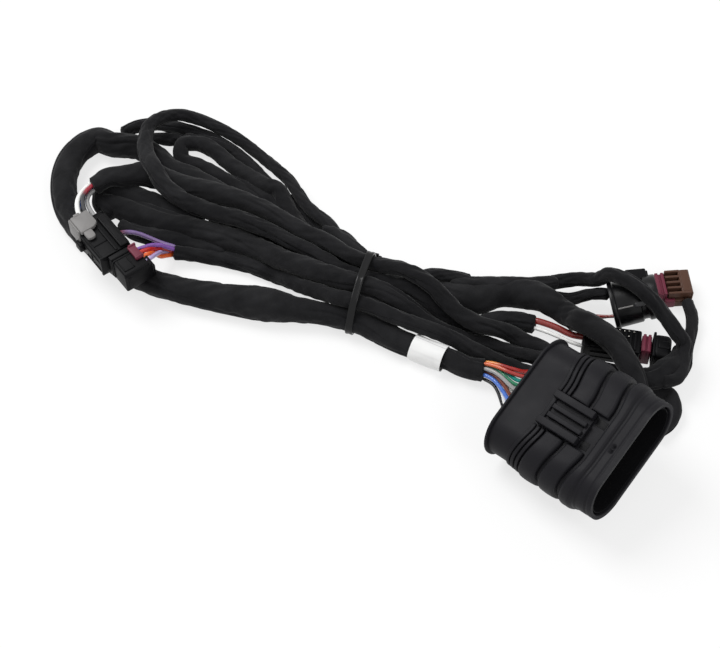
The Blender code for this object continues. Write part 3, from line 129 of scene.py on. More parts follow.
# %% Routes
TIE_PLACE, TIE_TURN = (0.5 * MM, 17.5 * MM), math.radians(-17.0)
TIE_LANE_REACH, TIE_STRAP_W, TIE_STRAP_T = 13.0 * MM, 3.6 * MM, 1.3 * MM
LOOM_STEP, CURVE_SPOTS = 9.0 * MM, 24
TIE_LANES = {
    "main_out": (-13.5, 6.2), "main_back": (-0.8, 5.8), "hook": (8.6, 3.8), "back": (16.2, 3.4),
    "front_over": (13.6, 9.4), "socket": (-8.2, 15.2), "sensor": (0.6, 16.1), "front_under": (7.2, 10.6),
    "plug": (12.0, 16.3),
}
LOOMS = {
    "main_loom": dict(
        girth=((0.00, 11.0), (0.10, 10.6), (0.148, 10.8), (0.175, 16.0), (0.20, 14.2), (0.24, 13.0),
               (0.45, 12.9), (0.53, 12.7), (0.60, 12.2), (0.66, 11.0), (0.795, 11.2), (0.805, 15.0),
               (0.866, 15.2), (0.878, 11.8), (0.94, 10.6), (1.00, 9.6)),
        route=((58, -24, 5.8), (44, -14.6, 5.8), (30, -8.6, 5.8), (17, -4.8, 6), "-main_out",
               (-29, 9, 8), (-40, 11, 8), (-50, 13, 8), (-61, 16, 7), (-77, 19.6, 6.8), (-94, 23.8, 6.8),
               (-112, 33, 6.8), (-131, 51, 6.8), (-144.5, 69, 6.8), (-149.3, 88, 6.8), (-147.2, 105, 6.8),
               (-137.5, 117.3, 7), (-124, 118.8, 7), (-109, 111, 6.4), (-96, 99, 6), (-80, 87, 6),
               (-60, 73, 6), (-38, 54, 6), "main_back",
               (39, 18, 7), (56, 19.8, 8.4), (72, 21.2, 8.5), (86, 19.2, 9), (97, 7.5, 9), (108, -5, 12),
               (119, -18, 16), (127, -30, 16), (129, -40, 11), (128, -48, 6))),
    "front_loop_loom": dict(
        girth=((0.0, 6.2), (0.10, 6.2), (0.35, 5.8), (0.46, 6.4), (0.53, 8.6), (0.66, 8.6), (0.72, 6.8),
               (0.82, 8.4), (1.0, 9.0)),
        route=((53, 26.6, 11.6), (38, 26.6, 10.8), "-front_over",
               (-13, 58.5, 13), (-28, 77, 10), (-43, 99, 7), (-60, 116.5, 7), (-78, 127, 10),
               (-93, 129.5, 14), (-106, 122, 17), (-109, 107, 19), (-105, 90, 19), (-95, 77, 17),
               (-82, 67.5, 15), (-64, 59, 14), (-46, 50, 13), "front_under",
               (29, 15, 9), (43, 11, 6), (57, 9, 5.2), (71, 6, 5), (83, 2.5, 6))),
    "front_branch_loom": dict(
        girth=((0.0, 7.0), (0.5, 6.8), (1.0, 7.4)),
        route=((91.2, 25.2, 8.6), (100, 28, 8), (107.5, 27, 11), (115, 19.5, 19.5), (120, 13, 26.5),
               (125.5, 9.5, 29), (132, 5.5, 28.5), (138, 0.5, 25), (144, -5, 19), (149, -12, 13),
               (152, -19, 11), (152.5, -26, 11), (147.5, -32, 11), (139, -32.5, 11))),
    "hook_loom": dict(
        girth=((0.0, 7.0), (0.4, 8.0), (1.0, 8.0)),
        route=((27, 25.5, 4), "-hook",
               (-30, 66, 6), (-49, 87, 6), (-66, 102, 6), (-78, 114, 7), (-88, 116, 7), (-93, 109, 6),
               (-88, 101, 4), (-79, 94, 4), (-67, 89.5, 4), (-56, 84, 4), (-46, 77, 4))),
    "boot_loom": dict(
        girth=((0.0, 6.0), (1.0, 5.4)),
        route=((90.6, 20.5, 3.8), (98, 21.5, 3.6), (106, 19, 6.5), (112, 14, 10.5), (116.5, 11, 12.5))),
    "back_loom": dict(
        girth=((0.0, 6.4), (1.0, 6.4)),
        route=((-122, 123.5, 5), (-118, 129, 4), (-109, 132, 4), (-97, 130, 4), (-80, 124, 4),
               (-64, 113, 4), (-50, 97, 4), (-30, 73, 5), "back", (30, 31, 4), (42, 28.5, 4), (53, 28, 4))),
    "sensor_loom": dict(
        girth=((0.0, 10.0), (0.06, 13.6), (0.20, 13.6), (0.28, 10.6), (0.45, 9.2), (0.6, 7.0), (0.9, 5.6),
               (1.0, 5.2)),
        route=((-129, 76, 7), (-123, 75, 7), (-115.5, 71.5, 7), (-106, 66.8, 7), (-94, 61.5, 7),
               (-73, 55, 7.5), (-53, 48.5, 8), (-30, 34, 12), "sensor",
               (27, 5.5, 13), (38, 0.5, 8.5), (48, -4, 5), (60, -8.5, 4), (75, -14, 4), (91, -20, 4),
               (112, -22, 4), (131, -24, 4), (141, -26, 4), (146, -23, 4), (149.5, -17, 4), (152.5, -10, 4),
               (156, -1.5, 4), (158.6, 5.5, 4.3), (158.3, 11.8, 4.7), (155.2, 17.4, 5))),
    "socket_loom": dict(
        girth=((0.0, 7.8), (0.4, 7.4), (1.0, 6.8)),
        route=((-91, 45.5, 6), (-76, 45.5, 5), (-58, 44.5, 5), (-42, 38, 7), "socket",
               (24, 0, 13), (36, -4.5, 11), (47, -9.5, 7), (60, -16, 4), (75, -22.5, 4), (93, -30, 4),
               (116, -31, 4), (130, -31, 4), (140, -32.5, 4), (146, -36, 4), (147, -41.5, 4), (144.5, -47, 4),
               (139, -53, 4), (133.5, -56.5, 4.5))),
    "plug_loom": dict(
        girth=((0.0, 9.0), (0.08, 11.0), (0.22, 10.4), (0.36, 8.0), (0.5, 6.8), (0.7, 8.2), (1.0, 7.6)),
        route=((-132, 78.5, 16), (-124.5, 82.5, 15.5), (-116, 86.5, 14), (-107, 88.5, 13), (-95, 87, 11),
               (-80, 82, 12), (-59, 71, 14), (-36, 56, 15), "plug",
               (28, 14, 17), (40, 7, 13), (51, 1, 9), (62, -2, 6), (75, -5, 5), (88, -12, 4),
               (104, -34, 4), (114, -46, 4), (122, -55, 4.5))),
}


def running_sum(steps):
    """Sum of the steps so far, from 0 on."""
    return np.concatenate([[0], np.cumsum(steps)])


def length_along(path):
    """Distance along a path at each of its points."""
    return running_sum(np.linalg.norm(np.diff(path, axis=0), axis=1))


def points_at(marks, along, points):
    """The points of a line at the marked distances along it."""
    return np.column_stack([np.interp(marks, along, column) for column in points.T])


def smooth_path(spots, step):
    """Points one step apart on a Catmull-Rom curve: each run is half of a cubic of its four nearest spots."""
    p = np.array(spots, float)
    p = np.vstack([2 * p[0] - p[1], p, 2 * p[-1] - p[-2]])
    t = np.linspace(0, 1, CURVE_SPOTS, endpoint=False)[:, None]
    runs = []
    for a, b, c, d in zip(p, p[1:], p[2:], p[3:]):
        runs.append(0.5 * (2 * b + (c - a) * t + (2 * a - 5 * b + 4 * c - d) * t ** 2
                           + (3 * b - a - 3 * c + d) * t ** 3))
    fine = np.vstack(runs + [p[-2][None]])
    along = length_along(fine)
    marks = np.linspace(0, along[-1], max(4, round(along[-1] / step) + 1))
    return points_at(marks, along, fine)


def tie_axes():
    """The level ways through the tie's opening and across it."""
    ahead = np.array([math.cos(TIE_TURN), math.sin(TIE_TURN), 0.0])
    return ahead, np.array([-ahead[1], ahead[0], 0.0])


def lane_spots(lane, back):
    """Three spots through the tie's opening: its middle, and one reach before and after it."""
    across, height = (v * MM for v in TIE_LANES[lane])
    ahead, side = tie_axes()
    middle = np.array([*TIE_PLACE, TIE_STRAP_T + SEAT_GAP]) + side * across + np.array([0.0, 0.0, height])
    reach = -TIE_LANE_REACH if back else TIE_LANE_REACH
    return [middle - ahead * reach, middle, middle + ahead * reach]


def loom_route(entry):
    """A loom's spots in metres, with the lanes of the tie put in."""
    spots = []
    for spot in entry["route"]:
        if isinstance(spot, str):
            spots += lane_spots(spot.lstrip("-"), spot.startswith("-"))
        else:
            spots.append(np.array(spot, float) * MM)
    return np.array(spots) - HANK_SHIFT


def loom_radii(path, girth):
    """Radius at each point, read between the given girths."""
    along = length_along(path)
    share, width = np.array(girth).T
    return np.interp(along / along[-1], share, width) * MM / 2


raw = [smooth_path(loom_route(entry), LOOM_STEP) for entry in LOOMS.values()]
sizes = [loom_radii(path, entry["girth"]) for path, entry in zip(raw, LOOMS.values())]
print("loom lengths in mm:", {n: round(length_along(p)[-1] * 1000) for n, p in zip(LOOMS, raw)})

# %% [markdown]
# ## Settling the looms
#
# The given routes cross each other. A physics bake could lay them, but a small relaxation is exact and
# quick: each round pulls a path to its route, lets it sink, evens it, and then pushes the closest points
# of each pair of tubes apart until they only touch. Connectors push too, as boxes or a round. The CAD
# model was settled by the same rule, so the paths found here are those of its solids.

# %% Settling
SETTLE_ROUNDS, WIRE_ROUNDS = 320, 160
EVEN_SHARE, STRETCH_SHARE, LAST_STRETCH_SHARE = 0.12, 0.25, 0.1
PUSH_SHARE, LONGEST_PUSH = 0.9, 3.0 * MM
TINY = 1e-9


def segment_gaps(p, q, u, v):
    """Closest points of segments p-q and u-v: shares along both, the vector between them and its length."""
    d1, d2, r = q - p, v - u, p - u
    a = np.einsum("ij,ij->i", d1, d1)
    e = np.einsum("ij,ij->i", d2, d2)
    b = np.einsum("ij,ij->i", d1, d2)
    c = np.einsum("ij,ij->i", d1, r)
    f = np.einsum("ij,ij->i", d2, r)
    even = np.maximum(a * e - b * b, 1e-18)
    s = np.clip((b * f - c * e) / even, 0, 1)
    t = np.clip((b * s + f) / np.maximum(e, 1e-18), 0, 1)
    s = np.clip((b * t - c) / np.maximum(a, 1e-18), 0, 1)
    between = (p + d1 * s[:, None]) - (u + d2 * t[:, None])
    return s, t, between, np.linalg.norm(between, axis=1)


def push_off_blocks(points, radii, blocks, free):
    """Moves points out of the connectors' boxes and rounds, by the shortest way."""
    for turn, middle, half, is_round in blocks:
        local = (points - middle) @ turn
        nearest = np.clip(local, -half, half)
        radial = np.linalg.norm(local[:, 1:], axis=1)
        if is_round:
            nearest[:, 1:] = local[:, 1:] * np.minimum(1, half[1] / np.maximum(radial, TINY))[:, None]
        away = local - nearest
        far = np.linalg.norm(away, axis=1)
        short = radii + SEAT_GAP - far
        outside = (far > TINY) & (short > 0) & free
        points[outside] += (away[outside] / far[outside, None] * short[outside, None]) @ turn.T
        for i in np.nonzero((far <= TINY) & free)[0]:
            room = half - np.abs(local[i])
            k = int(np.argmin(room))
            push = np.zeros(3)
            if is_round and k > 0:
                push[1:] = local[i][1:] / radial[i] * (half[1] - radial[i] + radii[i] + SEAT_GAP)
            else:
                push[k] = (room[k] + radii[i] + SEAT_GAP) * (1.0 if local[i][k] >= 0 else -1.0)
            points[i] += turn @ push
    return points


def strap_height(points):
    """How high the ground lies for looms that run onto the strap, which passes under them."""
    middle = np.array(TIE_PLACE) - HANK_SHIFT[:2]
    off = np.abs((points[:, :2] - middle) @ tie_axes()[0][:2]) - TIE_STRAP_W
    return (TIE_STRAP_T + SEAT_GAP) * np.clip(1 - off / TIE_LANE_REACH, 0, 1)


def settle(paths, radii, gap, blocks=(), kept=(), skip_ends=0, rounds=SETTLE_ROUNDS, hold=0.06,
           weight=0.04 * MM):
    """Settles paths until their tubes only touch. Kept paths stay, and so do the ends of every path."""
    counts = [len(p) for p in paths] + [len(p) for p, _ in kept]
    points = np.vstack(list(paths) + [p for p, _ in kept])
    radius = np.concatenate(list(radii) + [r for _, r in kept])
    owner = np.repeat(np.arange(len(counts)), counts)
    place = np.concatenate([np.arange(n) for n in counts])
    last = np.array([counts[o] - 1 for o in owner])
    moving = owner < len(paths)
    loose = (moving & (place > 0) & (place < last)).astype(float)
    guarded = moving & ((place < skip_ends) | (place > last - skip_ends))
    chosen = points.copy()

    starts = np.nonzero(place < last)[0]
    rest = np.linalg.norm(points[starts + 1] - points[starts], axis=1)
    i, j = np.triu_indices(len(starts), k=1)
    a, b = starts[i], starts[j]
    same = owner[a] == owner[b]
    apart = ~same | (np.abs(place[a] - place[b]) > 3)
    both = moving[a] | moving[b]
    near_end = guarded[a] | guarded[a + 1] | guarded[b] | guarded[b + 1]
    picked = apart & both & ~((moving[a] != moving[b]) & near_end)
    a, b = a[picked], b[picked]
    reach = np.maximum(radius[a], radius[a + 1]) + np.maximum(radius[b], radius[b + 1]) + gap

    inner = np.nonzero((place > 0) & (place < last) & moving)[0]
    for turn in range(rounds):
        final = turn >= rounds * 2 // 3
        if not final:
            points += (chosen - points) * hold * loose[:, None]
            points[:, 2] -= weight * loose
            middle = (points[inner - 1] + points[inner + 1]) / 2
            points[inner] += (middle - points[inner]) * EVEN_SHARE
        move = np.zeros_like(points)
        count = np.zeros(len(points))
        step = points[starts + 1] - points[starts]
        length = np.linalg.norm(step, axis=1)
        share = LAST_STRETCH_SHARE if final else STRETCH_SHARE
        fix = step * ((length - rest) / np.maximum(length, TINY) * share)[:, None]
        np.add.at(move, starts, fix)
        np.add.at(move, starts + 1, -fix)
        points += move * loose[:, None]

        move[:] = 0
        s, t, between, far = segment_gaps(points[a], points[a + 1], points[b], points[b + 1])
        short = reach - far
        hit = short > 0
        if hit.any():
            s, t, between, far, short = s[hit], t[hit], between[hit], np.maximum(far[hit], 1e-7), short[hit]
            ends = (a[hit], a[hit] + 1, b[hit], b[hit] + 1)
            shares = (1 - s, s, -(1 - t), -t)
            pull = sum(share ** 2 * loose[end] for share, end in zip(shares, ends))
            push = between / far[:, None] * (short / np.maximum(pull, 1e-6))[:, None]
            push *= np.minimum(1.0, LONGEST_PUSH / np.maximum(np.linalg.norm(push, axis=1), TINY))[:, None]
            for share, end in zip(shares, ends):
                np.add.at(move, end, push * share[:, None])
                np.add.at(count, end, (np.abs(share) > 0.02).astype(float))
            points += move / np.maximum(count, 1)[:, None] * loose[:, None] * PUSH_SHARE
        points = push_off_blocks(points, radius, blocks, (loose > 0) & ~guarded)
        ground = radius + strap_height(points)
        low = (loose > 0) & (points[:, 2] < ground)
        points[low, 2] = ground[low]
    edges = np.cumsum([0] + counts)
    return [points[edges[k]:edges[k + 1]] for k in range(len(paths))]


def connector_blocks():
    """The connectors as blocks that push looms away: turn and middle, half sizes, and whether it is round."""
    beyond = REAR_LOCK_L + REAR_CAP_L + 2 * SEAT_GAP
    shifts = {"rear_plug": (beyond / 2, 0, 0), "sensor": (-SENSOR_LOCK_L / 2, 0, 0)}
    spans = {
        "oval": (OVAL_L, OVAL_W + 2 * OVAL_RIDGE_RISE, OVAL_H + 2 * OVAL_RIDGE_RISE),
        "plug": (PLUG_L, PLUG_W, PLUG_H),
        "socket": (SOCKET_L, SOCKET_W + 2 * SOCKET_COLLAR_RISE, SOCKET_H + 2 * SOCKET_COLLAR_RISE),
        "boot": (BOOT_L, BOOT_D, BOOT_D),
        "sensor": (SENSOR_L + SENSOR_LOCK_L, SENSOR_W, SENSOR_H),
        "rear_plug": (REAR_PLUG_L + beyond, REAR_PLUG_W + 2 * PAIR_EDGE, REAR_PLUG_H + 2 * PAIR_EDGE),
    }
    made = []
    for name, span in spans.items():
        matrix = seats[name] @ Matrix.Translation(shifts.get(name, (0, 0, 0)))
        made.append((*turn_and_middle(matrix), np.array(span) / 2 + CORNER_ROOM, name == "boot"))
    return made


LABEL_PLACE, LABEL_L, LABEL_T, LABEL_SLACK = 23.0 * MM, 16.0 * MM, 0.4 * MM, 0.3 * MM
along = length_along(raw[0])
covered = (along > LABEL_PLACE - LOOM_STEP) & (along < LABEL_PLACE + LABEL_L + LOOM_STEP)
room = [size.copy() for size in sizes]
room[0] += covered * (SEAT_GAP + LABEL_SLACK + LABEL_T)
blocks = connector_blocks()
laid = settle(raw, room, LOOM_GAP, blocks)
paths, radii = dict(zip(LOOMS, laid)), dict(zip(LOOMS, sizes))
print("settled", len(paths), "looms; the lowest point is",
      round(min((p[:, 2] - r).min() for p, r in zip(laid, sizes)) * 1000, 2), "mm")

# %% [markdown]
# ## Routes of the bare wires
#
# Short coloured wires leave the taped looms and enter the connectors. Each one starts at a spot in its
# loom's end face, ends at a spot on a connector's wire face, and leaves both squarely. A cubic Bezier
# curve does that: its two inner handles stand on the two ways out.

# %% Wires
WIRE_POINTS = 8
WIRES = {
    "main_wire_red": ("red", 1.9, "oval", (14.2, 2.4), "main_loom", 0, (-3.4, 2.6)),
    "main_wire_orange": ("orange", 1.9, "oval", (11.6, -0.8), "main_loom", 0, (-1.4, 4.2)),
    "main_wire_teal": ("teal", 1.9, "oval", (7.6, 2.6), "main_loom", 0, (-4.4, -0.2)),
    "main_wire_green": ("green", 1.9, "oval", (5.0, -0.8), "main_loom", 0, (-1.4, 1.6)),
    "main_wire_grey": ("grey", 1.9, "oval", (1.4, 2.4), "main_loom", 0, (0.8, 3.4)),
    "main_wire_white": ("white", 1.9, "oval", (-1.6, -1.0), "main_loom", 0, (-2.2, -1.6)),
    "main_wire_brown": ("brown", 1.9, "oval", (-4.2, 2.2), "main_loom", 0, (0.6, 0.8)),
    "main_wire_blue": ("blue", 1.9, "oval", (-7.2, -0.6), "main_loom", 0, (3.0, 1.4)),
    "main_wire_cream": ("white", 1.9, "oval", (-9.8, 2.0), "main_loom", 0, (0.4, -2.8)),
    "main_wire_black": ("black", 1.6, "oval", (-13.0, -0.6), "main_loom", 0, (3.4, -1.6)),
    "plug_wire_white": ("white", 1.9, "plug", (-3.6, 2.4), "plug_loom", 0, (1.6, 0.8)),
    "plug_wire_blue": ("blue", 1.7, "plug", (-3.6, -1.0), "plug_loom", 0, (1.2, -1.8)),
    "plug_wire_red": ("red", 1.7, "plug", (0.2, 2.0), "plug_loom", 0, (-0.8, 2.2)),
    "plug_wire_grey": ("grey", 1.7, "plug", (3.6, 0.4), "plug_loom", 0, (-1.6, -0.6)),
    "jumper_wire": ("violet", 1.7, "plug_side", (2.0, 2.6), "socket_loom", 0, (2.2, 2.0)),
    "socket_wire_violet": ("violet", 1.7, "socket", (-4.6, 1.8), "socket_loom", 0, (-0.2, 2.8)),
    "socket_wire_red": ("red", 1.7, "socket", (-1.8, 2.6), "socket_loom", 0, (0.4, 0.6)),
    "socket_wire_orange": ("orange", 1.7, "socket", (0.8, 2.2), "socket_loom", 0, (-0.6, -1.4)),
    "socket_wire_lilac": ("lilac", 1.7, "socket", (3.6, 1.4), "socket_loom", 0, (1.8, -1.6)),
    "power_wire": ("red_brown", 3.2, "rear_plug", (1.8, 1.4), "front_loop_loom", 1, (-1.4, 1.2)),
    "power_wire_white": ("white", 1.9, "rear_plug", (-3.0, 0.4), "front_loop_loom", 1, (2.2, 0.2)),
    "boot_wire_maroon": ("red_brown", 1.6, "boot", (-4.6, -1.6), None, 0, (98.5, 7.5, 1.4)),
    "boot_wire_white": ("white", 1.6, "boot", (-2.0, -4.4), None, 0, (100.0, 5.0, 1.4)),
}
REAR_FACES = {"oval": -OVAL_L / 2 + OVAL_REAR_DEPTH - SEAL_T - 2 * SEAT_GAP, "plug": -PLUG_L / 2 - SEAT_GAP,
              "rear_plug": -REAR_PLUG_L / 2 - SEAT_GAP, "boot": -BOOT_L / 2 + BOOT_RECESS - SEAT_GAP}
SIDE_FACES = {"socket": ("socket", SOCKET_W / 2 + SEAT_GAP), "plug_side": ("plug", PLUG_W / 2 + SEAT_GAP)}


def wire_entry(face, spot):
    """Where a wire enters a connector, and the way out of that face: -X at a rear, +Y at a side."""
    a, b = spot[0] * MM, spot[1] * MM
    if face in REAR_FACES:
        seat, place, way = seats[face], (REAR_FACES[face], a, b), (-1, 0, 0)
    else:
        name, off = SIDE_FACES[face]
        seat, place, way = seats[name], (a, off, b), (0, 1, 0)
    return np.array(seat @ Vector(place)), np.array((seat.to_3x3() @ Vector(way)).normalized())


def loom_end(path, end):
    """Middle, outward way, right and up of a loom's end face."""
    tip, inner = (path[0], path[1]) if end == 0 else (path[-1], path[-2])
    way = (tip - inner) / np.linalg.norm(tip - inner)
    right = np.cross(way, [0, 0, 1.0])
    right /= np.linalg.norm(right)
    return tip, way, right, np.cross(right, way)


def wire_path(start, start_way, finish, finish_way):
    """Cubic Bezier curve whose handles stand 0.36 of the span out from its two faces."""
    reach = np.linalg.norm(finish - start) * 0.36
    a, b, c, d = start, start + start_way * reach, finish + finish_way * reach, finish
    t = np.linspace(0, 1, WIRE_POINTS)[:, None]
    return a * (1 - t) ** 3 + 3 * b * t * (1 - t) ** 2 + 3 * c * t ** 2 * (1 - t) + d * t ** 3


raw_wires, wire_radii = [], []
for colour, width, connector, spot, loom, end, at in WIRES.values():
    finish, finish_way = wire_entry(connector, spot)
    if loom is None:
        start, out = np.array(at) * MM - HANK_SHIFT, np.array([0.6, 0.8, 0.0])
    else:
        tip, out, right, up = loom_end(paths[loom], end)
        start = tip + out * (SEAT_GAP + WIRE_GAP) + right * at[0] * MM + up * at[1] * MM
    raw_wires.append(wire_path(start, out, finish, finish_way))
    wire_radii.append(np.full(WIRE_POINTS, width * MM / 2))
kept = [(paths[name], radii[name]) for name in LOOMS]
wire_paths = dict(zip(WIRES, settle(raw_wires, wire_radii, WIRE_GAP, blocks, kept, skip_ends=2,
                                    rounds=WIRE_ROUNDS, hold=0.05, weight=0.0)))
wire_lengths = [round(length_along(p)[-1] / MM, 1) for p in wire_paths.values()]
print(len(wire_paths), "wires, from", min(wire_lengths), "to", max(wire_lengths), "mm long")

# %% [markdown]
# ## One way to make a surface
#
# Every new piece is a grid of points: ring after ring round a body. Quads join each ring to the next and
# a fan closes each end on its middle. The faces have to point outwards, and the signed volume tells
# whether they do: it is the sum of the tetrahedra between the origin and each triangle, and it is
# negative for a body turned inside out. The UV map is in metres, so a weave keeps its size on any loom.

# %% Surfaces from grids
def grid_faces(rings, spots, wrap=False):
    """Quads between rings, fans over both ends, and the (ring, spot) of each corner for the UV map."""
    def corners_of(*trail):
        """(ring, spot) of each corner, with the corners side by side."""
        return np.moveaxis(np.stack([np.stack(spot, axis=-1) for spot in trail]), 0, -2)

    k, j = np.meshgrid(np.arange(rings if wrap else rings - 1), np.arange(spots), indexing="ij")
    corners = corners_of((k, j), (k, j + 1), (k + 1, j + 1), (k + 1, j)).reshape(-1, 4, 2)
    quads = corners[..., 0] % rings * spots + corners[..., 1] % spots
    j = np.arange(0 if wrap else spots)
    none, end = np.zeros_like(j), np.full_like(j, rings - 1)
    start = corners_of((none, j + 1), (none, j), (none - 1, j))
    stop = corners_of((end, j), (end, j + 1), (end + 1, j))
    middle, base = rings * spots, (rings - 1) * spots
    start_fan = np.stack([start[:, 0, 1] % spots, start[:, 1, 1] % spots, none + middle], axis=1)
    stop_fan = np.stack([base + stop[:, 0, 1] % spots, base + stop[:, 1, 1] % spots,
                         none + middle + 1], axis=1)
    return quads, corners, np.vstack([start_fan, stop_fan]), np.vstack([start, stop])


def signed_volume(points, quads, fans):
    """Sum of a . (b x c) / 6 over the triangles."""
    tris = np.vstack([quads[:, [0, 1, 2]], quads[:, [0, 2, 3]], fans])
    a, b, c = points[tris[:, 0]], points[tris[:, 1]], points[tris[:, 2]]
    return np.einsum("ij,ij->", a, np.cross(b, c)) / 6


def make_piece(name, grids, finish, seat=None, smooth=40.0, maps=None, wraps=()):
    """One mesh object from grids of shape (rings, spots, 3).

    A seat places the grids. Maps give each grid its distances along and round for the UV map. Grids
    numbered in wraps close on themselves, and the others are closed by fans.
    """
    points, faces, uvs, first = [], [], [], 0
    for number, grid in enumerate(grids):
        rings, spots = grid.shape[:2]
        wrap = number in wraps
        if seat is not None:
            turn, middle = turn_and_middle(seat)
            grid = grid @ turn.T + middle
        flat = grid.reshape(-1, 3)
        if not wrap:
            flat = np.vstack([flat, grid[0].mean(axis=0), grid[-1].mean(axis=0)])
        quads, quad_spots, fans, fan_spots = grid_faces(rings, spots, wrap)
        if signed_volume(flat - flat.mean(axis=0), quads, fans) < 0:
            quads, quad_spots, fans, fan_spots = (x[:, ::-1] for x in (quads, quad_spots, fans, fan_spots))
        if maps is None:
            u = running_sum(np.linalg.norm(np.diff(grid, axis=0, append=grid[:1]), axis=2).mean(axis=1))
            v = running_sum(np.linalg.norm(np.diff(grid, axis=1, append=grid[:, :1]), axis=2).mean(axis=0))
        else:
            u, v = maps[number]
        for spots_of in (quad_spots, fan_spots):
            flat_spots = spots_of.reshape(-1, 2)
            last = rings if wrap else rings - 1
            uvs.append(np.column_stack([u[np.clip(flat_spots[:, 0], 0, last)], v[flat_spots[:, 1]]]))
        points.append(flat)
        faces += (quads + first).tolist() + (fans + first).tolist()
        first += len(flat)
    mesh = bpy.data.meshes.new(name)
    mesh.from_pydata(np.vstack(points).tolist(), [], faces)
    mesh.uv_layers.new(name="surface").data.foreach_set("uv", np.vstack(uvs).ravel())
    mesh.shade_smooth()
    mesh.set_sharp_from_angle(angle=math.radians(smooth))
    mesh.materials.append(finish)
    made = bpy.data.objects.new(name, mesh)
    bpy.context.scene.collection.objects.link(made)
    return made


def dressed(piece, slot, *replaced):
    """Seats a finished piece on the harness and lets it stand for its solids."""
    if replaced:
        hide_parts(*replaced)
    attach(piece, "root")
    return piece


def ways_along(path):
    """Tangent, right and up at each point: right = tangent x Z, up = right x tangent."""
    ahead = np.gradient(path, axis=0)
    ahead /= np.linalg.norm(ahead, axis=1)[:, None]
    right = np.cross(ahead, [0.0, 0.0, 1.0])
    right /= np.linalg.norm(right, axis=1)[:, None]
    return ahead, right, np.cross(right, ahead)


def tube(path, reach, turns):
    """Grid of a tube: point = path + (right cos t + up sin t) reach(ring, t)."""
    ahead, right, up = ways_along(path)
    way = right[:, None] * np.cos(turns)[None, :, None] + up[:, None] * np.sin(turns)[None, :, None]
    return path[:, None] + way * reach[..., None]


print("surface helpers are ready")

# %% [markdown]
# ## Shared effects as node groups
#
# Two effects return on many finishes: woven cloth with its lint and wear, and moulded plastic with its
# grain and rubbed spots. Each is a node group, built once, that puts out masks and heights. The shader
# itself stays in each material, because an exporter reads only the shader that it finds there.

# %% Node helpers and groups
def new_group(name, inputs, outputs):
    """An empty shader node group with named sockets: its tree, its input node and its output node."""
    tree = bpy.data.node_groups.new(name, "ShaderNodeTree")
    kinds = {"vector": "NodeSocketVector", "value": "NodeSocketFloat", "colour": "NodeSocketColor"}
    for label, kind, start in inputs:
        socket = tree.interface.new_socket(label, in_out="INPUT", socket_type=kinds[kind])
        if start is not None:
            socket.default_value = start
    for label, kind in outputs:
        tree.interface.new_socket(label, in_out="OUTPUT", socket_type=kinds[kind])
    return tree, tree.nodes.new("NodeGroupInput"), tree.nodes.new("NodeGroupOutput")


def put(tree, kind, inputs=(), **settings):
    """Adds a node, sets its options, and fills its inputs: a socket is linked, a plain value is written."""
    node = tree.nodes.new("ShaderNode" + kind)
    for key, value in settings.items():
        setattr(node, key, value)
    for key, value in dict(inputs).items():
        if isinstance(value, bpy.types.NodeSocket):
            tree.links.new(value, node.inputs[key])
        else:
            node.inputs[key].default_value = value
    return node


def sums(tree, operation, a, b=0.0, c=0.0):
    """Result of a Math node on two or three values."""
    return put(tree, "Math", {0: a, 1: b, 2: c}, operation=operation).outputs[0]


def noise(tree, vector, scale, detail=3.0, roughness=0.5):
    """Fractal noise, from 0 to 1."""
    return put(tree, "TexNoise", {"Vector": vector, "Scale": scale, "Detail": detail,
                                  "Roughness": roughness}).outputs["Fac"]


def remap(tree, value, low, high, new_low=0.0, new_high=1.0):
    """Carries low..high to a new range, clamped."""
    return put(tree, "MapRange", {0: value, 1: low, 2: high, 3: new_low, 4: new_high}, clamp=True).outputs[0]


def blend_colour(tree, mask, dark, light):
    """Colour between two plain ones, by a mask."""
    node = put(tree, "Mix", {"Factor": mask}, data_type="RGBA")
    node.inputs[6].default_value, node.inputs[7].default_value = (*dark, 1.0), (*light, 1.0)
    return node.outputs[2]


def tinted(tree, tone, mask, colour):
    """A tone that gives way to a plain colour where the mask is 1."""
    node = put(tree, "Mix", {"Factor": mask, 6: tone}, data_type="RGBA")
    node.inputs[7].default_value = (*colour, 1.0)
    return node.outputs[2]


def raise_relief(tree, shader, strength, distance, height):
    """Puts a bump on the shader's normal."""
    bump = put(tree, "Bump", {"Strength": strength, "Distance": distance, "Height": height})
    tree.links.new(bump.outputs["Normal"], shader.inputs["Normal"])


def own_map(tree):
    """The piece's own UV map, in metres along and round."""
    return put(tree, "UVMap", uv_map="surface").outputs["UV"]


def seen_directly(tree):
    """1 where a ray comes from the camera, from a reflection or through a clear body, and 0 otherwise."""
    rays = put(tree, "LightPath")
    bounced = sums(tree, "MAXIMUM", rays.outputs["Is Glossy Ray"], rays.outputs["Is Transmission Ray"])
    return sums(tree, "MAXIMUM", rays.outputs["Is Camera Ray"], bounced)


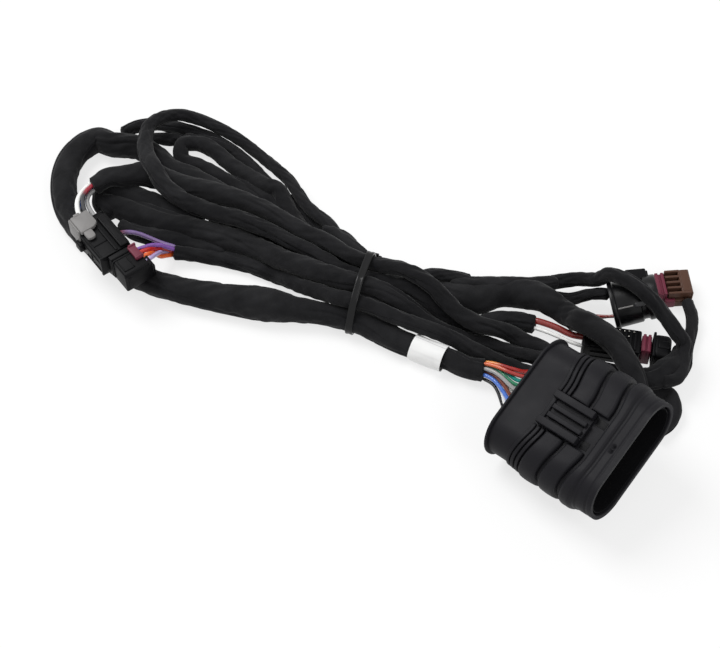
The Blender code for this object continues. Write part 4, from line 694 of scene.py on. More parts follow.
def woven_group():
    """Cloth: height = sin(u) sin(v), a plain weave of two threads, with lint and worn patches on it."""
    tree, taken, given = new_group("woven_cloth", [("Surface", "vector", None), ("Space", "vector", None),
                                                   ("Threads", "value", 2400.0)],
                                   [("Height", "value"), ("Lint", "value"), ("Wear", "value")])
    split = put(tree, "SeparateXYZ", {0: taken.outputs["Surface"]})
    waves = [sums(tree, "SINE", sums(tree, "MULTIPLY", split.outputs[k], taken.outputs["Threads"]))
             for k in (0, 1)]
    weave = sums(tree, "MULTIPLY", *waves)
    fuzz = noise(tree, taken.outputs["Space"], 1800.0, 4.0, 0.7)
    height = sums(tree, "MULTIPLY_ADD", weave, 0.5, fuzz)
    tree.links.new(height, given.inputs["Height"])
    specks = noise(tree, taken.outputs["Space"], 900.0, 5.0, 0.75)
    tree.links.new(remap(tree, specks, 0.62, 0.80), given.inputs["Lint"])
    tree.links.new(remap(tree, noise(tree, taken.outputs["Space"], 55.0, 4.0, 0.6), 0.35, 0.7),
                   given.inputs["Wear"])
    return tree


def mould_group():
    """Moulded plastic: fine spark-eroded grain, broad flow marks, and small rubbed spots."""
    tree, taken, given = new_group("mould_grain", [("Space", "vector", None), ("Grain", "value", 2600.0)],
                                   [("Height", "value"), ("Flow", "value"), ("Rub", "value")])
    grain = noise(tree, taken.outputs["Space"], taken.outputs["Grain"], 2.0, 0.5)
    tree.links.new(grain, given.inputs["Height"])
    tree.links.new(noise(tree, taken.outputs["Space"], 70.0, 3.0, 0.5), given.inputs["Flow"])
    rub = noise(tree, taken.outputs["Space"], 420.0, 6.0, 0.72)
    tree.links.new(remap(tree, rub, 0.60, 0.78), given.inputs["Rub"])
    return tree


WOVEN, MOULD = woven_group(), mould_group()
print("node groups:", WOVEN.name, MOULD.name)

# %% [markdown]
# ## Finishes
#
# The tape is a matt black cloth: nearly no gloss, a little sheen at grazing angles, lint. The plastics are
# satin and differ in colour and gloss. A few wires change colour along their way. Uniform numbers such as
# sheen or specular level are written straight on the shader, since an exporter drops them when they
# arrive through a link.

# %% Materials
def new_material(name, roughness, specular=0.5, **constants):
    """A material, its tree, its shader and the object's own space as coordinates."""
    made = bpy.data.materials.new(name)
    made.use_nodes = True
    tree = made.node_tree
    shader = tree.nodes["Principled BSDF"]
    shader.inputs["Roughness"].default_value = roughness
    shader.inputs["Specular IOR Level"].default_value = specular
    for key, value in constants.items():
        shader.inputs[key.replace("_", " ")].default_value = value
    space = put(tree, "TexCoord").outputs["Object"]
    return made, tree, shader, space


def tape_material(name, dark, light, lint, threads=2400.0, bump=0.35):
    """Black cloth tape: worn tone, lint specks, and the weave as a bump."""
    made, tree, shader, space = new_material(name, 0.9, 0.12, Sheen_Weight=0.10, Sheen_Roughness=0.45)
    cloth = put(tree, "Group", {}, node_tree=WOVEN)
    tree.links.new(own_map(tree), cloth.inputs["Surface"])
    tree.links.new(space, cloth.inputs["Space"])
    cloth.inputs["Threads"].default_value = threads
    tone = blend_colour(tree, cloth.outputs["Wear"], dark, light)
    flecked = tinted(tree, tone, sums(tree, "MULTIPLY", cloth.outputs["Lint"], 0.35), lint)
    tree.links.new(flecked, shader.inputs["Base Color"])
    tree.links.new(remap(tree, cloth.outputs["Wear"], 0.0, 1.0, 0.95, 0.78), shader.inputs["Roughness"])
    raise_relief(tree, shader, bump, 0.12 * MM, cloth.outputs["Height"])
    return made


def plastic_material(name, colour, light, roughness=0.45, specular=0.3, grain=2600.0, bump=0.12, rub=0.25,
                     **constants):
    """Moulded plastic: a faintly mottled colour, rubbed specks that catch light, and a fine grain."""
    made, tree, shader, space = new_material(name, roughness, specular, **constants)
    mould = put(tree, "Group", {}, node_tree=MOULD)
    tree.links.new(space, mould.inputs["Space"])
    mould.inputs["Grain"].default_value = grain
    tone = blend_colour(tree, mould.outputs["Flow"], colour, light)
    paler = [min(1.0, c * 2.2 + 0.012) for c in light]
    rubbed = tinted(tree, tone, sums(tree, "MULTIPLY", mould.outputs["Rub"], rub), paler)
    tree.links.new(rubbed, shader.inputs["Base Color"])
    tree.links.new(remap(tree, mould.outputs["Flow"], 0.3, 0.7, roughness - 0.06, roughness + 0.08),
                   shader.inputs["Roughness"])
    raise_relief(tree, shader, bump, 0.08 * MM, mould.outputs["Height"])
    return made


def wire_material(name, colour, fade=None):
    """Extruded insulation: glossy, with faint draw lines along it and a little dust.

    A fade is a second colour and the two distances, in mm from the loom, between which it comes in.
    """
    made, tree, shader, space = new_material(name, 0.28, 0.5)
    surface = own_map(tree)
    mapping = put(tree, "Mapping", {"Vector": surface, "Scale": (40.0, 4200.0, 1.0)})
    lines = noise(tree, mapping.outputs["Vector"], 1.0, 2.0, 0.5)
    dusty = remap(tree, noise(tree, space, 500.0, 4.0, 0.7), 0.5, 0.8)
    paler = tuple(min(1.0, c * 1.25 + 0.02) for c in colour)
    tone = blend_colour(tree, sums(tree, "MULTIPLY", dusty, 0.6), colour, paler)
    if fade is not None:
        second, low, high = fade
        gone = put(tree, "SeparateXYZ", {0: surface}).outputs[0]
        tone = tinted(tree, tone, remap(tree, gone, low * MM, high * MM), second)
    tree.links.new(tone, shader.inputs["Base Color"])
    tree.links.new(remap(tree, dusty, 0.0, 1.0, 0.24, 0.42), shader.inputs["Roughness"])
    raise_relief(tree, shader, 0.08, 0.03 * MM, lines)
    return made


TAPE = tape_material("loom_tape", (0.0062, 0.0062, 0.0070), (0.0120, 0.0120, 0.0132), (0.045, 0.045, 0.047))
SHELL = plastic_material("shell_plastic", (0.0068, 0.0066, 0.0084), (0.0092, 0.0089, 0.0110), 0.52, 0.12)
BLACK = plastic_material("black_plastic", (0.0022, 0.0022, 0.0027), (0.0036, 0.0036, 0.0043), 0.44, 0.09)
BOOT = plastic_material("boot_plastic", (0.0022, 0.0022, 0.0027), (0.0036, 0.0036, 0.0042), 0.30, 0.20,
                        bump=0.05)
NYLON = plastic_material("tie_nylon", (0.0022, 0.0022, 0.0025), (0.0036, 0.0036, 0.0040), 0.24, 0.24,
                         bump=0.03, rub=0.1)
# A glossier black for the band on the boot; its lighter colour is a painted highlight.
GLOSS_AND_HIGHLIGHT = plastic_material("gloss_and_painted_highlight", (0.020, 0.020, 0.022), (0.034, 0.034, 0.037), 0.26, 0.4, bump=0.03)
RUBBER = plastic_material("seal_rubber", (0.0040, 0.0040, 0.0048), (0.0070, 0.0070, 0.0080), 0.62, 0.1)
# Dark matt plastic: the pin carrier's own colour, and painted shade on the mouth lining.
CARRIER_AND_SHADE = plastic_material("carrier_and_painted_shade", (0.0034, 0.0034, 0.0040), (0.0050, 0.0050, 0.0058), 0.7, 0.06)
METAL = plastic_material("contact_metal", (0.62, 0.60, 0.56), (0.70, 0.68, 0.63), 0.32, 0.5, Metallic=1.0)
GREY = plastic_material("grey_plastic", (0.165, 0.160, 0.157), (0.215, 0.208, 0.205), 0.45, 0.28)
MAGENTA = plastic_material("magenta_plastic", (0.112, 0.017, 0.033), (0.150, 0.025, 0.048), 0.45, 0.22)
BROWN = plastic_material("brown_plastic", (0.066, 0.030, 0.019), (0.090, 0.043, 0.028), 0.48, 0.20)
INSULATION = {name: wire_material("wire_" + name, colour) for name, colour in {
    "red": (0.50, 0.022, 0.015), "orange": (0.78, 0.13, 0.025), "teal": (0.02, 0.26, 0.22),
    "green": (0.04, 0.22, 0.12), "grey": (0.30, 0.30, 0.30), "white": (0.80, 0.80, 0.785),
    "brown": (0.17, 0.05, 0.03), "blue": (0.06, 0.16, 0.55), "black": (0.012, 0.012, 0.013),
    "violet": (0.22, 0.09, 0.38), "lilac": (0.42, 0.33, 0.58), "red_brown": (0.22, 0.022, 0.018)}.items()}
FADES = {"main_wire_red": ((0.72, 0.26, 0.05), ((0.30, 0.016, 0.012), 4.0, 9.0)),
         "main_wire_orange": ((0.62, 0.12, 0.04), ((0.34, 0.02, 0.015), 6.0, 13.0)),
         "plug_wire_red": ((0.30, 0.014, 0.03), ((0.03, 0.03, 0.034), 5.0, 9.0)),
         "jumper_wire": ((0.20, 0.13, 0.30), ((0.10, 0.01, 0.03), 25.0, 29.0))}
FADED = {name: wire_material("wire_of_" + name, colour, fade) for name, (colour, fade) in FADES.items()}
print(len(bpy.data.materials), "materials")

# %% [markdown]
# ## Taped looms
#
# Under the tape lie a dozen wires, so a loom isn't a clean tube. Its section bulges where wires lie and
# slowly turns along the way, the tape puckers, lies in lengthwise folds and makes a low step where one
# turn covers the last. All of that is a radius that depends on the distance along and the angle round,
# so the whole loom is one array: radius = girth + lumps + crumple - folds + tape step.
#
# The drawn line may leave its solid a little, where the photograph shows the loom elsewhere. A nudge is
# such a push: a spot in mm, how far it spreads, the move, and how much thicker the loom gets there.

# %% Loom surfaces
RING_STEP, LOOM_SPOTS, LOOM_SEED = 0.9 * MM, 72, 40
TURN = 6.28
GIRTH_SHARE, GIRTH_LIMIT, TAPE_STEP_H = 0.965, 1.03, 0.27 * MM
CRUMPLE_H, FOLD_H, FOLD_W = (0.03, 0.08), (0.32, 0.68), (0.10, 0.17)


def wrapped(angle):
    """Carries an angle to -pi..pi."""
    return (angle + np.pi) % (2 * np.pi) - np.pi


def wander(luck, s, shortest, longest):
    """A sine wave along a loom, with its length in mm and its phase drawn: sin(turn s / length + phase)."""
    return np.sin(TURN * s / (luck.uniform(shortest, longest) * MM) + luck.uniform(0, TURN))


def tape_reach(along, turns, radius, seed):
    """Radius of a taped loom at each ring and angle, in metres.

    Lumps are cosine waves of 2 to 5 periods round with long turns along, crumple is the same with
    many short ones. A fold is a narrow dent with a lip beside it that wanders along the loom. The
    tape step is a saw wave of along / pitch + turn: it rises in a tenth of its turn and fades.
    """
    luck = np.random.default_rng(seed)
    s, t = along[:, None], turns[None, :]
    base = radius[:, None]
    lumps = np.zeros((len(along), len(turns)))
    for count in (2, 3, 4, 5):
        pitch, phase, size = luck.uniform(45, 130) * MM, luck.uniform(0, TURN), luck.uniform(0.010, 0.026)
        lumps += size * np.cos(count * t + TURN * s / pitch + phase)
    crumple = np.zeros_like(lumps)
    for _ in range(10):
        count, pitch = luck.integers(2, 9), luck.uniform(5, 22) * MM * luck.choice([-1, 1])
        size, phase = luck.uniform(*CRUMPLE_H) * MM, luck.uniform(0, TURN)
        crumple += size * np.cos(count * t + TURN * s / pitch + phase)
    folds = np.zeros_like(lumps)
    for _ in range(4):
        middle = luck.uniform(0, TURN) + luck.uniform(0.3, 0.9) * wander(luck, s, 90, 220)
        shown = np.clip(0.5 + 0.9 * wander(luck, s, 40, 110), 0, 1)
        width = luck.uniform(*FOLD_W)
        off = wrapped(t - middle)
        dent = np.exp(-(off / width) ** 2) - 0.7 * np.exp(-((off - 2.0 * width) / width) ** 2)
        folds += shown * luck.uniform(*FOLD_H) * MM * dent
    turn = (s / (luck.uniform(17, 26) * MM) + t / (2 * np.pi) + luck.uniform(0, 1)) % 1.0
    step = np.where(turn < 0.07, turn / 0.07, (1 - turn) / 0.93) ** 0.8
    reach = base * (GIRTH_SHARE + lumps) + crumple - folds + TAPE_STEP_H * step
    return np.minimum(reach, base * GIRTH_LIMIT + 0.12 * MM)


def closed_ends(along, reach, edge=0.9 * MM, depth=0.35):
    """Rounds the cut ends: the radius falls by a quarter circle over the last part of the edge."""
    off = np.minimum(along, along[-1] - along)
    share = np.clip(off / edge, 0, 1)
    return reach * (1 - depth * (1 - np.sqrt(1 - (1 - share) ** 2)))[:, None]


def resample(path, values, step):
    """A smooth curve through a settled path, with its values carried along it."""
    fine = smooth_path(path, step)
    share = np.linspace(0, 1, len(fine))
    return fine, np.interp(share, length_along(path) / length_along(path)[-1], values)


NUDGES = {
    "main_loom": [((-40, 12, 8), 24, (0, 0.8, 0), 1.0), ((4, -3, 6), 16, (0, -0.5, 0), 1.4),
                  ((47, -18, 6), 11, (0, 1.2, 0), -0.8)],
    "front_loop_loom": [((-22, 68, 11), 14, (-2.0, -2.0, 0), 0), ((43, 26.6, 11), 13, (0, -2.4, -2.2), 0)],
    "front_branch_loom": [((114, 21, 18), 10, (0, -0.8, -1.2), 0), ((136, 2.5, 26.5), 12, (0, -1.1, 1.6), 0),
                          ((153, -20, 11), 15, (-4.0, 0, 0), 0)],
    "boot_loom": [((117, 11, 12.5), 13, (1.0, 2.2, 3.0), 0)],
    "back_loom": [((-42, 88, 4), 18, (-1.3, -1.8, 0), 0)],
    "sensor_loom": [((158, 7, 4), 13, (2.4, 0, 0), 0.4)],
    "socket_loom": [((-46, 40, 6), 20, (0, 2.7, 0), 0), ((147, -41, 4), 10, (-1.4, 0, 0), 0)],
    "plug_loom": [((-105, 88, 13), 12, (0, 3.0, 2.2), 2.4)],
}


def nudged(name, line, radius):
    """Moves and swells a drawn line by bells: offset = sum of move exp(-(distance / spread)^2)."""
    line, radius = line.copy(), radius.copy()
    for spot, spread, move, girth in NUDGES.get(name, ()):
        far = np.linalg.norm(line - (np.array(spot) * MM - HANK_SHIFT), axis=1)
        bell = np.exp(-(far / (spread * MM)) ** 2)
        line += bell[:, None] * np.array(move) * MM
        radius += bell * girth * MM / 2
    return line, radius


turns = np.linspace(0, 2 * np.pi, LOOM_SPOTS, endpoint=False)


def taped_piece(name, line, radius, seed, edge=0.9 * MM, depth=0.35):
    """A loom or a wad as one mesh, with its cut ends rounded and its map in metres along and round."""
    along = length_along(line)
    reach = closed_ends(along, tape_reach(along, turns, radius, seed), edge, depth)
    v = np.linspace(0, 2 * np.pi, LOOM_SPOTS + 1) * radius.mean()
    return make_piece(name, [tube(line, reach, turns)], TAPE, smooth=60.0, maps=[(along, v)])


loom_lines, loom_pieces = {}, {}
for number, name in enumerate(LOOMS):
    line, radius = nudged(name, *resample(paths[name], radii[name], RING_STEP))
    piece = taped_piece(name + "_tape", line, radius, LOOM_SEED + number)
    loom_lines[name], loom_pieces[name] = line, dressed(piece, "loom_tape", name)
    print(name, len(line), "rings,", round(length_along(line)[-1] / MM), "mm")

# %% [markdown]
# ## Wads between the looms
#
# Where looms lie side by side the tape of one is stuck to the next, and loose turns fill the gaps. Each
# wad is a short taped tube of its own, laid in such a gap, by the same formula for its surface.

# %% Wads
WAD_SEED, WAD_EDGE, WAD_TAPER = 70, 3.5 * MM, 0.75
WADS = {
    "wad_sensor_start": (((0, 9.0), (0.4, 13.0), (1, 8.0)),
                         [(-130, 83, 7), (-120, 81.4, 8), (-108.7, 76.8, 7), (-98.4, 72.4, 7),
                          (-88.2, 67.4, 7), (-77, 62.4, 7)]),
    "wad_under_plug": (((0, 7.0), (0.5, 10.0), (1, 7.0)),
                       [(-119, 64, 5), (-111, 58.4, 5.6), (-102, 55, 6), (-92.3, 53, 6), (-78.4, 49.6, 5.4),
                        (-66, 45.4, 5)]),
    "wad_hook": (((0, 5.0), (0.4, 8.4), (1, 6.0)),
                 [(-66, 93, 4), (-57.3, 88.2, 4.6), (-49.1, 81.6, 5), (-39.8, 73, 5), (-30, 63, 5),
                  (-21, 55, 5)]),
    "wad_wires": (((0, 8.0), (0.5, 11.5), (1, 9.0)),
                  [(-130, 88, 6), (-129, 82, 6), (-127, 75, 6), (-122, 68, 6)]),
    "wad_middle": (((0, 4.0), (0.5, 6.4), (1, 4.0)),
                   [(-76, 62.5, 7), (-67, 60, 7), (-57, 56, 7), (-47, 51.4, 7), (-40, 47, 7)]),
    "wad_left": (((0, 5.0), (0.5, 7.0), (1, 5.0)),
                 [(-109, 121, 4), (-101.3, 120.3, 4), (-93.5, 119.6, 4), (-86.1, 115.4, 4)]),
    "wad_back": (((0, 5.0), (0.5, 6.4), (1, 5.0)),
                 [(-91, 121.5, 4), (-81, 119, 4), (-71, 115.6, 4), (-62, 110, 4)]),
    "wad_tie": (((0, 5.0), (0.5, 8.6), (1, 6.6)),
                [(-18, 56, 12), (-10.4, 49.6, 13.6), (-3.5, 41.6, 14.4), (3.5, 34.5, 14)]),
    "wad_junction": (((0, 5.0), (0.25, 8.0), (0.8, 8.0), (1, 6.8)),
                     [(43, 24, 10), (56.4, 21.9, 11.4), (66.8, 21.3, 12), (78.8, 21.4, 11.6), (88, 23, 10.4),
                      (95, 25, 9)]),
    "wad_right": (((0, 8.0), (0.5, 13.0), (1, 10.0)),
                  [(150.6, -12, 8), (147.6, -20, 9), (141, -27, 9.6), (134, -30.5, 9.6), (127, -30, 9)]),
}
for number, (name, (girth, spots)) in enumerate(WADS.items()):
    line = smooth_path(np.array(spots) * MM - HANK_SHIFT, RING_STEP)
    radius = loom_radii(line, girth)
    dressed(taped_piece(name, line, radius, WAD_SEED + number, WAD_EDGE, WAD_TAPER), "loom_tape")
print(len(WADS), "wads")

# %% [markdown]
# ## Bare wires
#
# A wire is a plain round tube, so its section stays round and its gloss does the work. Each end runs a
# little way into its loom or its connector, so no gap shows there. The oval connector's wires hang
# through in the middle, and those of the pair look thicker in the photograph than their solids are.

# %% Wire surfaces
WIRE_STEP, WIRE_SPOTS, RUN_IN = 0.7 * MM, 24, 1.2 * MM
WIRE_EDGE, WIRE_TAPER = 0.3 * MM, 0.2
PAIR_WIRE_SWELL, OVAL_WIRE_SAG = 1.25, (0.0, 2.4, 2.4)


def run_in(tip, inner):
    """The point one run-in beyond the tip of a line, on the way from its inner neighbour."""
    way = tip - inner
    return tip + way / np.linalg.norm(way) * RUN_IN


wire_turns = np.linspace(0, 2 * np.pi, WIRE_SPOTS, endpoint=False)
wire_lines, wire_pieces = {}, {}
for name, path in wire_paths.items():
    colour, width, connector = WIRES[name][:3]
    size = width * MM / 2 * (PAIR_WIRE_SWELL if connector in ("plug", "plug_side", "socket") else 1.0)
    line = smooth_path(path, WIRE_STEP)
    if connector == "oval":
        bell = np.sin(np.linspace(0, np.pi, len(line))) ** 2
        line = line - bell[:, None] * np.array(OVAL_WIRE_SAG) * MM
    line = np.vstack([run_in(line[0], line[1]), line, run_in(line[-1], line[-2])])
    along = length_along(line)
    reach = closed_ends(along, np.full((len(line), WIRE_SPOTS), size), WIRE_EDGE, WIRE_TAPER)
    v = np.linspace(0, 2 * np.pi, WIRE_SPOTS + 1) * size
    finish = FADED.get(name, INSULATION[colour])
    piece = make_piece(name + "_insulation", [tube(line, reach, wire_turns)], finish, smooth=50.0,
                       maps=[(along, v)])
    slot = "wire_" + ("violet" if colour == "lilac" else colour)
    wire_lines[name], wire_pieces[name] = line, dressed(piece, slot, name)
print(len(wire_pieces), "wires")

# %% [markdown]
# ## What is a cord
#
# A loom here starts and ends in the hank. A wire counts as a cord when it is at least 30 mm and six
# diameters long.

# %% Counting cords
SHORTEST = 0.03
LOOM_D = {"main_loom": 0.0118, "front_loop_loom": 0.0064, "front_branch_loom": 0.0069, "hook_loom": 0.0071,
          "back_loom": 0.0064, "sensor_loom": 0.0086, "socket_loom": 0.0073, "plug_loom": 0.0077}
for name, diameter in LOOM_D.items():
    line = loom_lines[name]
declared = 0
for name, line in wire_lines.items():
    length, diameter = float(length_along(line)[-1]), WIRES[name][1] * MM
    if length >= max(SHORTEST, 6 * diameter):
        declared += 1
print(len(LOOM_D) + declared, "cords declared")

# %% [markdown]
# ## Rounded blocks
#
# Most connector parts are blocks with rounded edges. A rounded block is the set of points at one edge
# radius from a smaller box: point = corner of the inner box + radius * normal. Walking the normal over
# a globe's latitudes and longitudes gives the whole surface as one grid of two parameters.

# %% Blocks
def block(low, high, edge, steps=4):
    """Grid of a rounded block over latitude a and longitude b.

    Point = inner corner + edge (sin a, cos a cos b, cos a sin b).
    """
    low, high = np.array(low, float), np.array(high, float)
    middle, half = (low + high) / 2, (high - low) / 2
    edge = min(edge, *(half * 0.98))
    a = np.concatenate([np.linspace(-np.pi / 2, 0, steps + 1), np.linspace(0, np.pi / 2, steps + 1)])
    x_side = np.repeat([-1.0, 1.0], steps + 1)
    quarter = np.linspace(0, np.pi / 2, steps + 1)
    b = np.concatenate([quarter + k * np.pi / 2 for k in range(4)])
    y_side = np.repeat([1.0, -1.0, -1.0, 1.0], steps + 1)
    z_side = np.repeat([1.0, 1.0, -1.0, -1.0], steps + 1)
    x = x_side * (half[0] - edge) + edge * np.sin(a)
    y = y_side[None] * (half[1] - edge) + edge * np.cos(a)[:, None] * np.cos(b)[None]
    z = z_side[None] * (half[2] - edge) + edge * np.cos(a)[:, None] * np.sin(b)[None]
    return np.stack([np.broadcast_to(x[:, None], y.shape), y, z], axis=-1) + middle


def box_mm(low, high, edge=0.3):
    """A rounded block given in millimetres."""
    return block(np.array(low, float) * MM, np.array(high, float) * MM, edge * MM)


print("a block has", block((0, 0, 0), (1, 1, 1), 0.1).shape[:2], "points")

# %% [markdown]
# ## Plates and turned bodies
#
# Two more grids do the rest of the plastics. A plate is an outline with its corners cut by quadratic
# curves, swept between two levels and drawn in at both by a quarter circle. A turned body is a profile
# of (distance, radius) stations carried round the X axis.

# %% Plates and turned bodies
def plate(corners, low, high, edge=0.3, cut=0.8):
    """Grid of a plate in mm: corner curve p = (1-t)^2 a + 2 t (1-t) c + t^2 b; inset = edge (1 - sin s)."""
    corners = np.array(corners, float)
    sides = []
    for step in (1, -1):
        way = np.roll(corners, step, axis=0) - corners
        span = np.linalg.norm(way, axis=1)[:, None]
        sides.append(way / span * np.minimum(cut, 0.45 * span))
    t = np.linspace(0, 1, 5)[None, :, None]
    c = corners[:, None]
    outline = ((1 - t) ** 2 * (c + sides[0][:, None]) + 2 * t * (1 - t) * c
               + t ** 2 * (c + sides[1][:, None]))
    outline = outline.reshape(-1, 2)
    before = np.roll(outline, 1, axis=0)
    along = np.roll(outline, -1, axis=0) - before
    turned_way = np.sign(np.sum(before[:, 0] * outline[:, 1] - outline[:, 0] * before[:, 1]))
    out = np.column_stack([along[:, 1], -along[:, 0]]) * turned_way
    out /= np.maximum(np.linalg.norm(out, axis=1), 1e-9)[:, None]
    bend = np.linspace(0, np.pi / 2, 4)
    levels = np.concatenate([low + edge * (1 - np.cos(bend)), high - edge * (1 - np.cos(bend[::-1]))])
    insets = edge * np.concatenate([1 - np.sin(bend), 1 - np.sin(bend[::-1])])
    rings = outline[None] - out[None] * insets[:, None, None]
    heights = np.broadcast_to(levels[:, None, None], (len(levels), len(outline), 1))
    grid = np.concatenate([rings, heights], axis=-1)
    return grid * MM


def turned_body(stations, spots=96, shift=(0.0, 0.0)):
    """Grid of (x, r cos t, r sin t) in mm from (x, r) stations, set off sideways by the shift."""
    x, r = np.array(stations, float).T * MM
    t = np.linspace(0, 2 * np.pi, spots, endpoint=False)
    return np.stack([np.broadcast_to(x[:, None], (len(x), spots)), shift[0] * MM + r[:, None] * np.cos(t),
                     shift[1] * MM + r[:, None] * np.sin(t)], -1)


def wire_collars(face, x, way):
    """A soft collar round each wire that enters the named face: stations from the face outwards."""
    spots = [(entry[3], entry[1] / 2) for entry in WIRES.values() if entry[2] == face]
    shape = ((0.0, 0.95), (0.3, 0.90), (0.7, 0.62), (1.5, 0.55), (1.8, 0.30))
    return [turned_body([(x + way * far, size + wall) for far, wall in shape], 24, spot)
            for spot, size in spots]


print("a plate has", plate([(0, 0), (4, 0), (4, 3), (0, 3)], 0, 1).shape[:2], "points")

# %% [markdown]
# ## The large oval connector
#
# The shell is a flat tube with round ends. Wide ridges wrap round it and stop at a saddle in the top,
# where the latch sits. It could be a row of joined solids, but one surface keeps its highlights clean:
# a point is the bare oval's point plus its normal times a rise, and the rise is the sum of all ribs at
# that distance along, faded out in the saddle. The same surface turns in at the rim and runs back
# inside, so the wall has its real thickness.

# %% Oval shell
OVAL_LIP_L, OVAL_LIP_RISE, OVAL_COLLAR_RISE = 1.6 * MM, 1.4 * MM, 0.7 * MM
RIDGE_START, RIDGE_L, RIDGE_GROOVE, COLLAR_RIDGE_L = 24.5 * MM, 9.6 * MM, 1.5 * MM, 4.9 * MM
FINE_RIB_START, FINE_RIB_PITCH, FINE_RIB_W, FINE_RIB_RISE = 17.1 * MM, 2.5 * MM, 1.9 * MM, 0.9 * MM
LATCH_SADDLE_W, LATCH_START, LATCH_L, LATCH_H = 17.5 * MM, 17.7 * MM, 21.4 * MM, 4.4 * MM
LATCH_FLOOR_T = 1.2 * MM
FINE_RIBS, RIDGE_BOW = 3, 5.0 * MM
FLATS = ((11.0, 16.4, 2.6, 6.6), (11.0, 15.2, -9.4, -5.2))
SADDLE_MIDDLE, SADDLE_FADE, MOUTH_WALL = -1.4 * MM, 0.7 * MM, 1.2 * MM
DIMPLES, DIMPLE_DEPTH, DIMPLE_R = ((24.5, -3.2), (24.5, -1.1)), 1.5 * MM, 0.75 * MM
TOP_SPOTS, LOW_SPOTS, ARC_SPOTS = 73, 33, 50


def oval_ring(half_w, half_h):
    """Points (y, z) round an oval with flat top and bottom, their normals, and which of them are on top."""
    flat = half_w - half_h
    over, under = np.ones(TOP_SPOTS), np.ones(LOW_SPOTS)
    arc = np.linspace(0, np.pi, ARC_SPOTS)[1:-1]
    ny = np.concatenate([0 * over, -np.sin(arc), 0 * under, np.sin(arc)])
    nz = np.concatenate([over, np.cos(arc), -under, -np.cos(arc)])
    y_top, y_low = np.linspace(flat, -flat, TOP_SPOTS), np.linspace(-flat, flat, LOW_SPOTS)
    y = np.concatenate([y_top, -flat - half_h * np.sin(arc), y_low, flat + half_h * np.sin(arc)])
    top = np.concatenate([over, np.zeros(len(y) - TOP_SPOTS)])
    return y, half_h * nz, ny, nz, top


def hump(x, start, length, edge):
    """A ridge of height 1 with quarter-circle shoulders: rises over the edge, falls over the last edge."""
    up = np.clip((x - start) / edge, 0, 1)
    down = np.clip((start + length - x) / edge, 0, 1)
    return np.sqrt(1 - (1 - up) ** 2) * np.sqrt(1 - (1 - down) ** 2)


def oval_rises(x):
    """Rise of the ribs at distance x from the rear: all round, and in the saddle."""
    lip = OVAL_LIP_RISE * hump(x, 0.0, OVAL_LIP_L, 0.5 * MM)
    ribs, ridges = 0, 0
    for k in range(FINE_RIBS):
        start = FINE_RIB_START + k * FINE_RIB_PITCH
        ribs = ribs + FINE_RIB_RISE * (1 + 0.3 * k) * hump(x, start, FINE_RIB_W, 0.4 * MM)
    for k in (0, 1):
        start = RIDGE_START + k * (RIDGE_L + RIDGE_GROOVE)
        crown = 1 - 0.16 * ((x - start - RIDGE_L / 2) / (RIDGE_L / 2)) ** 2
        ridges = ridges + OVAL_RIDGE_RISE * hump(x, start, RIDGE_L, 1.3 * MM) * crown
    start = RIDGE_START + 2 * (RIDGE_L + RIDGE_GROOVE)
    last = OVAL_RIDGE_RISE * hump(x, start, COLLAR_RIDGE_L, 1.6 * MM)
    line = start + COLLAR_RIDGE_L
    collar = OVAL_COLLAR_RISE * np.clip((x - start) / (0.6 * MM), 0, 1)
    seam = 0.45 * MM * hump(x, line - 0.2 * MM, 1.1 * MM, 0.3 * MM)
    seam = seam - 0.35 * MM * hump(x, line + 4.6 * MM, 0.7 * MM, 0.3 * MM)
    common = lip + np.maximum(last, collar) + seam
    return np.maximum(common, ribs + ridges), common


def inner_wall(depths, insets):
    """Rings inside the shell: the oval drawn in by each inset, at each place along X."""
    y, z, ny, nz, _ = oval_ring(OVAL_W / 2, OVAL_H / 2)
    inset = np.array(insets)[:, None]
    x = np.broadcast_to(np.array(depths)[:, None], (len(depths), len(y)))
    return np.stack([x, y - ny * inset, z - nz * inset], -1)


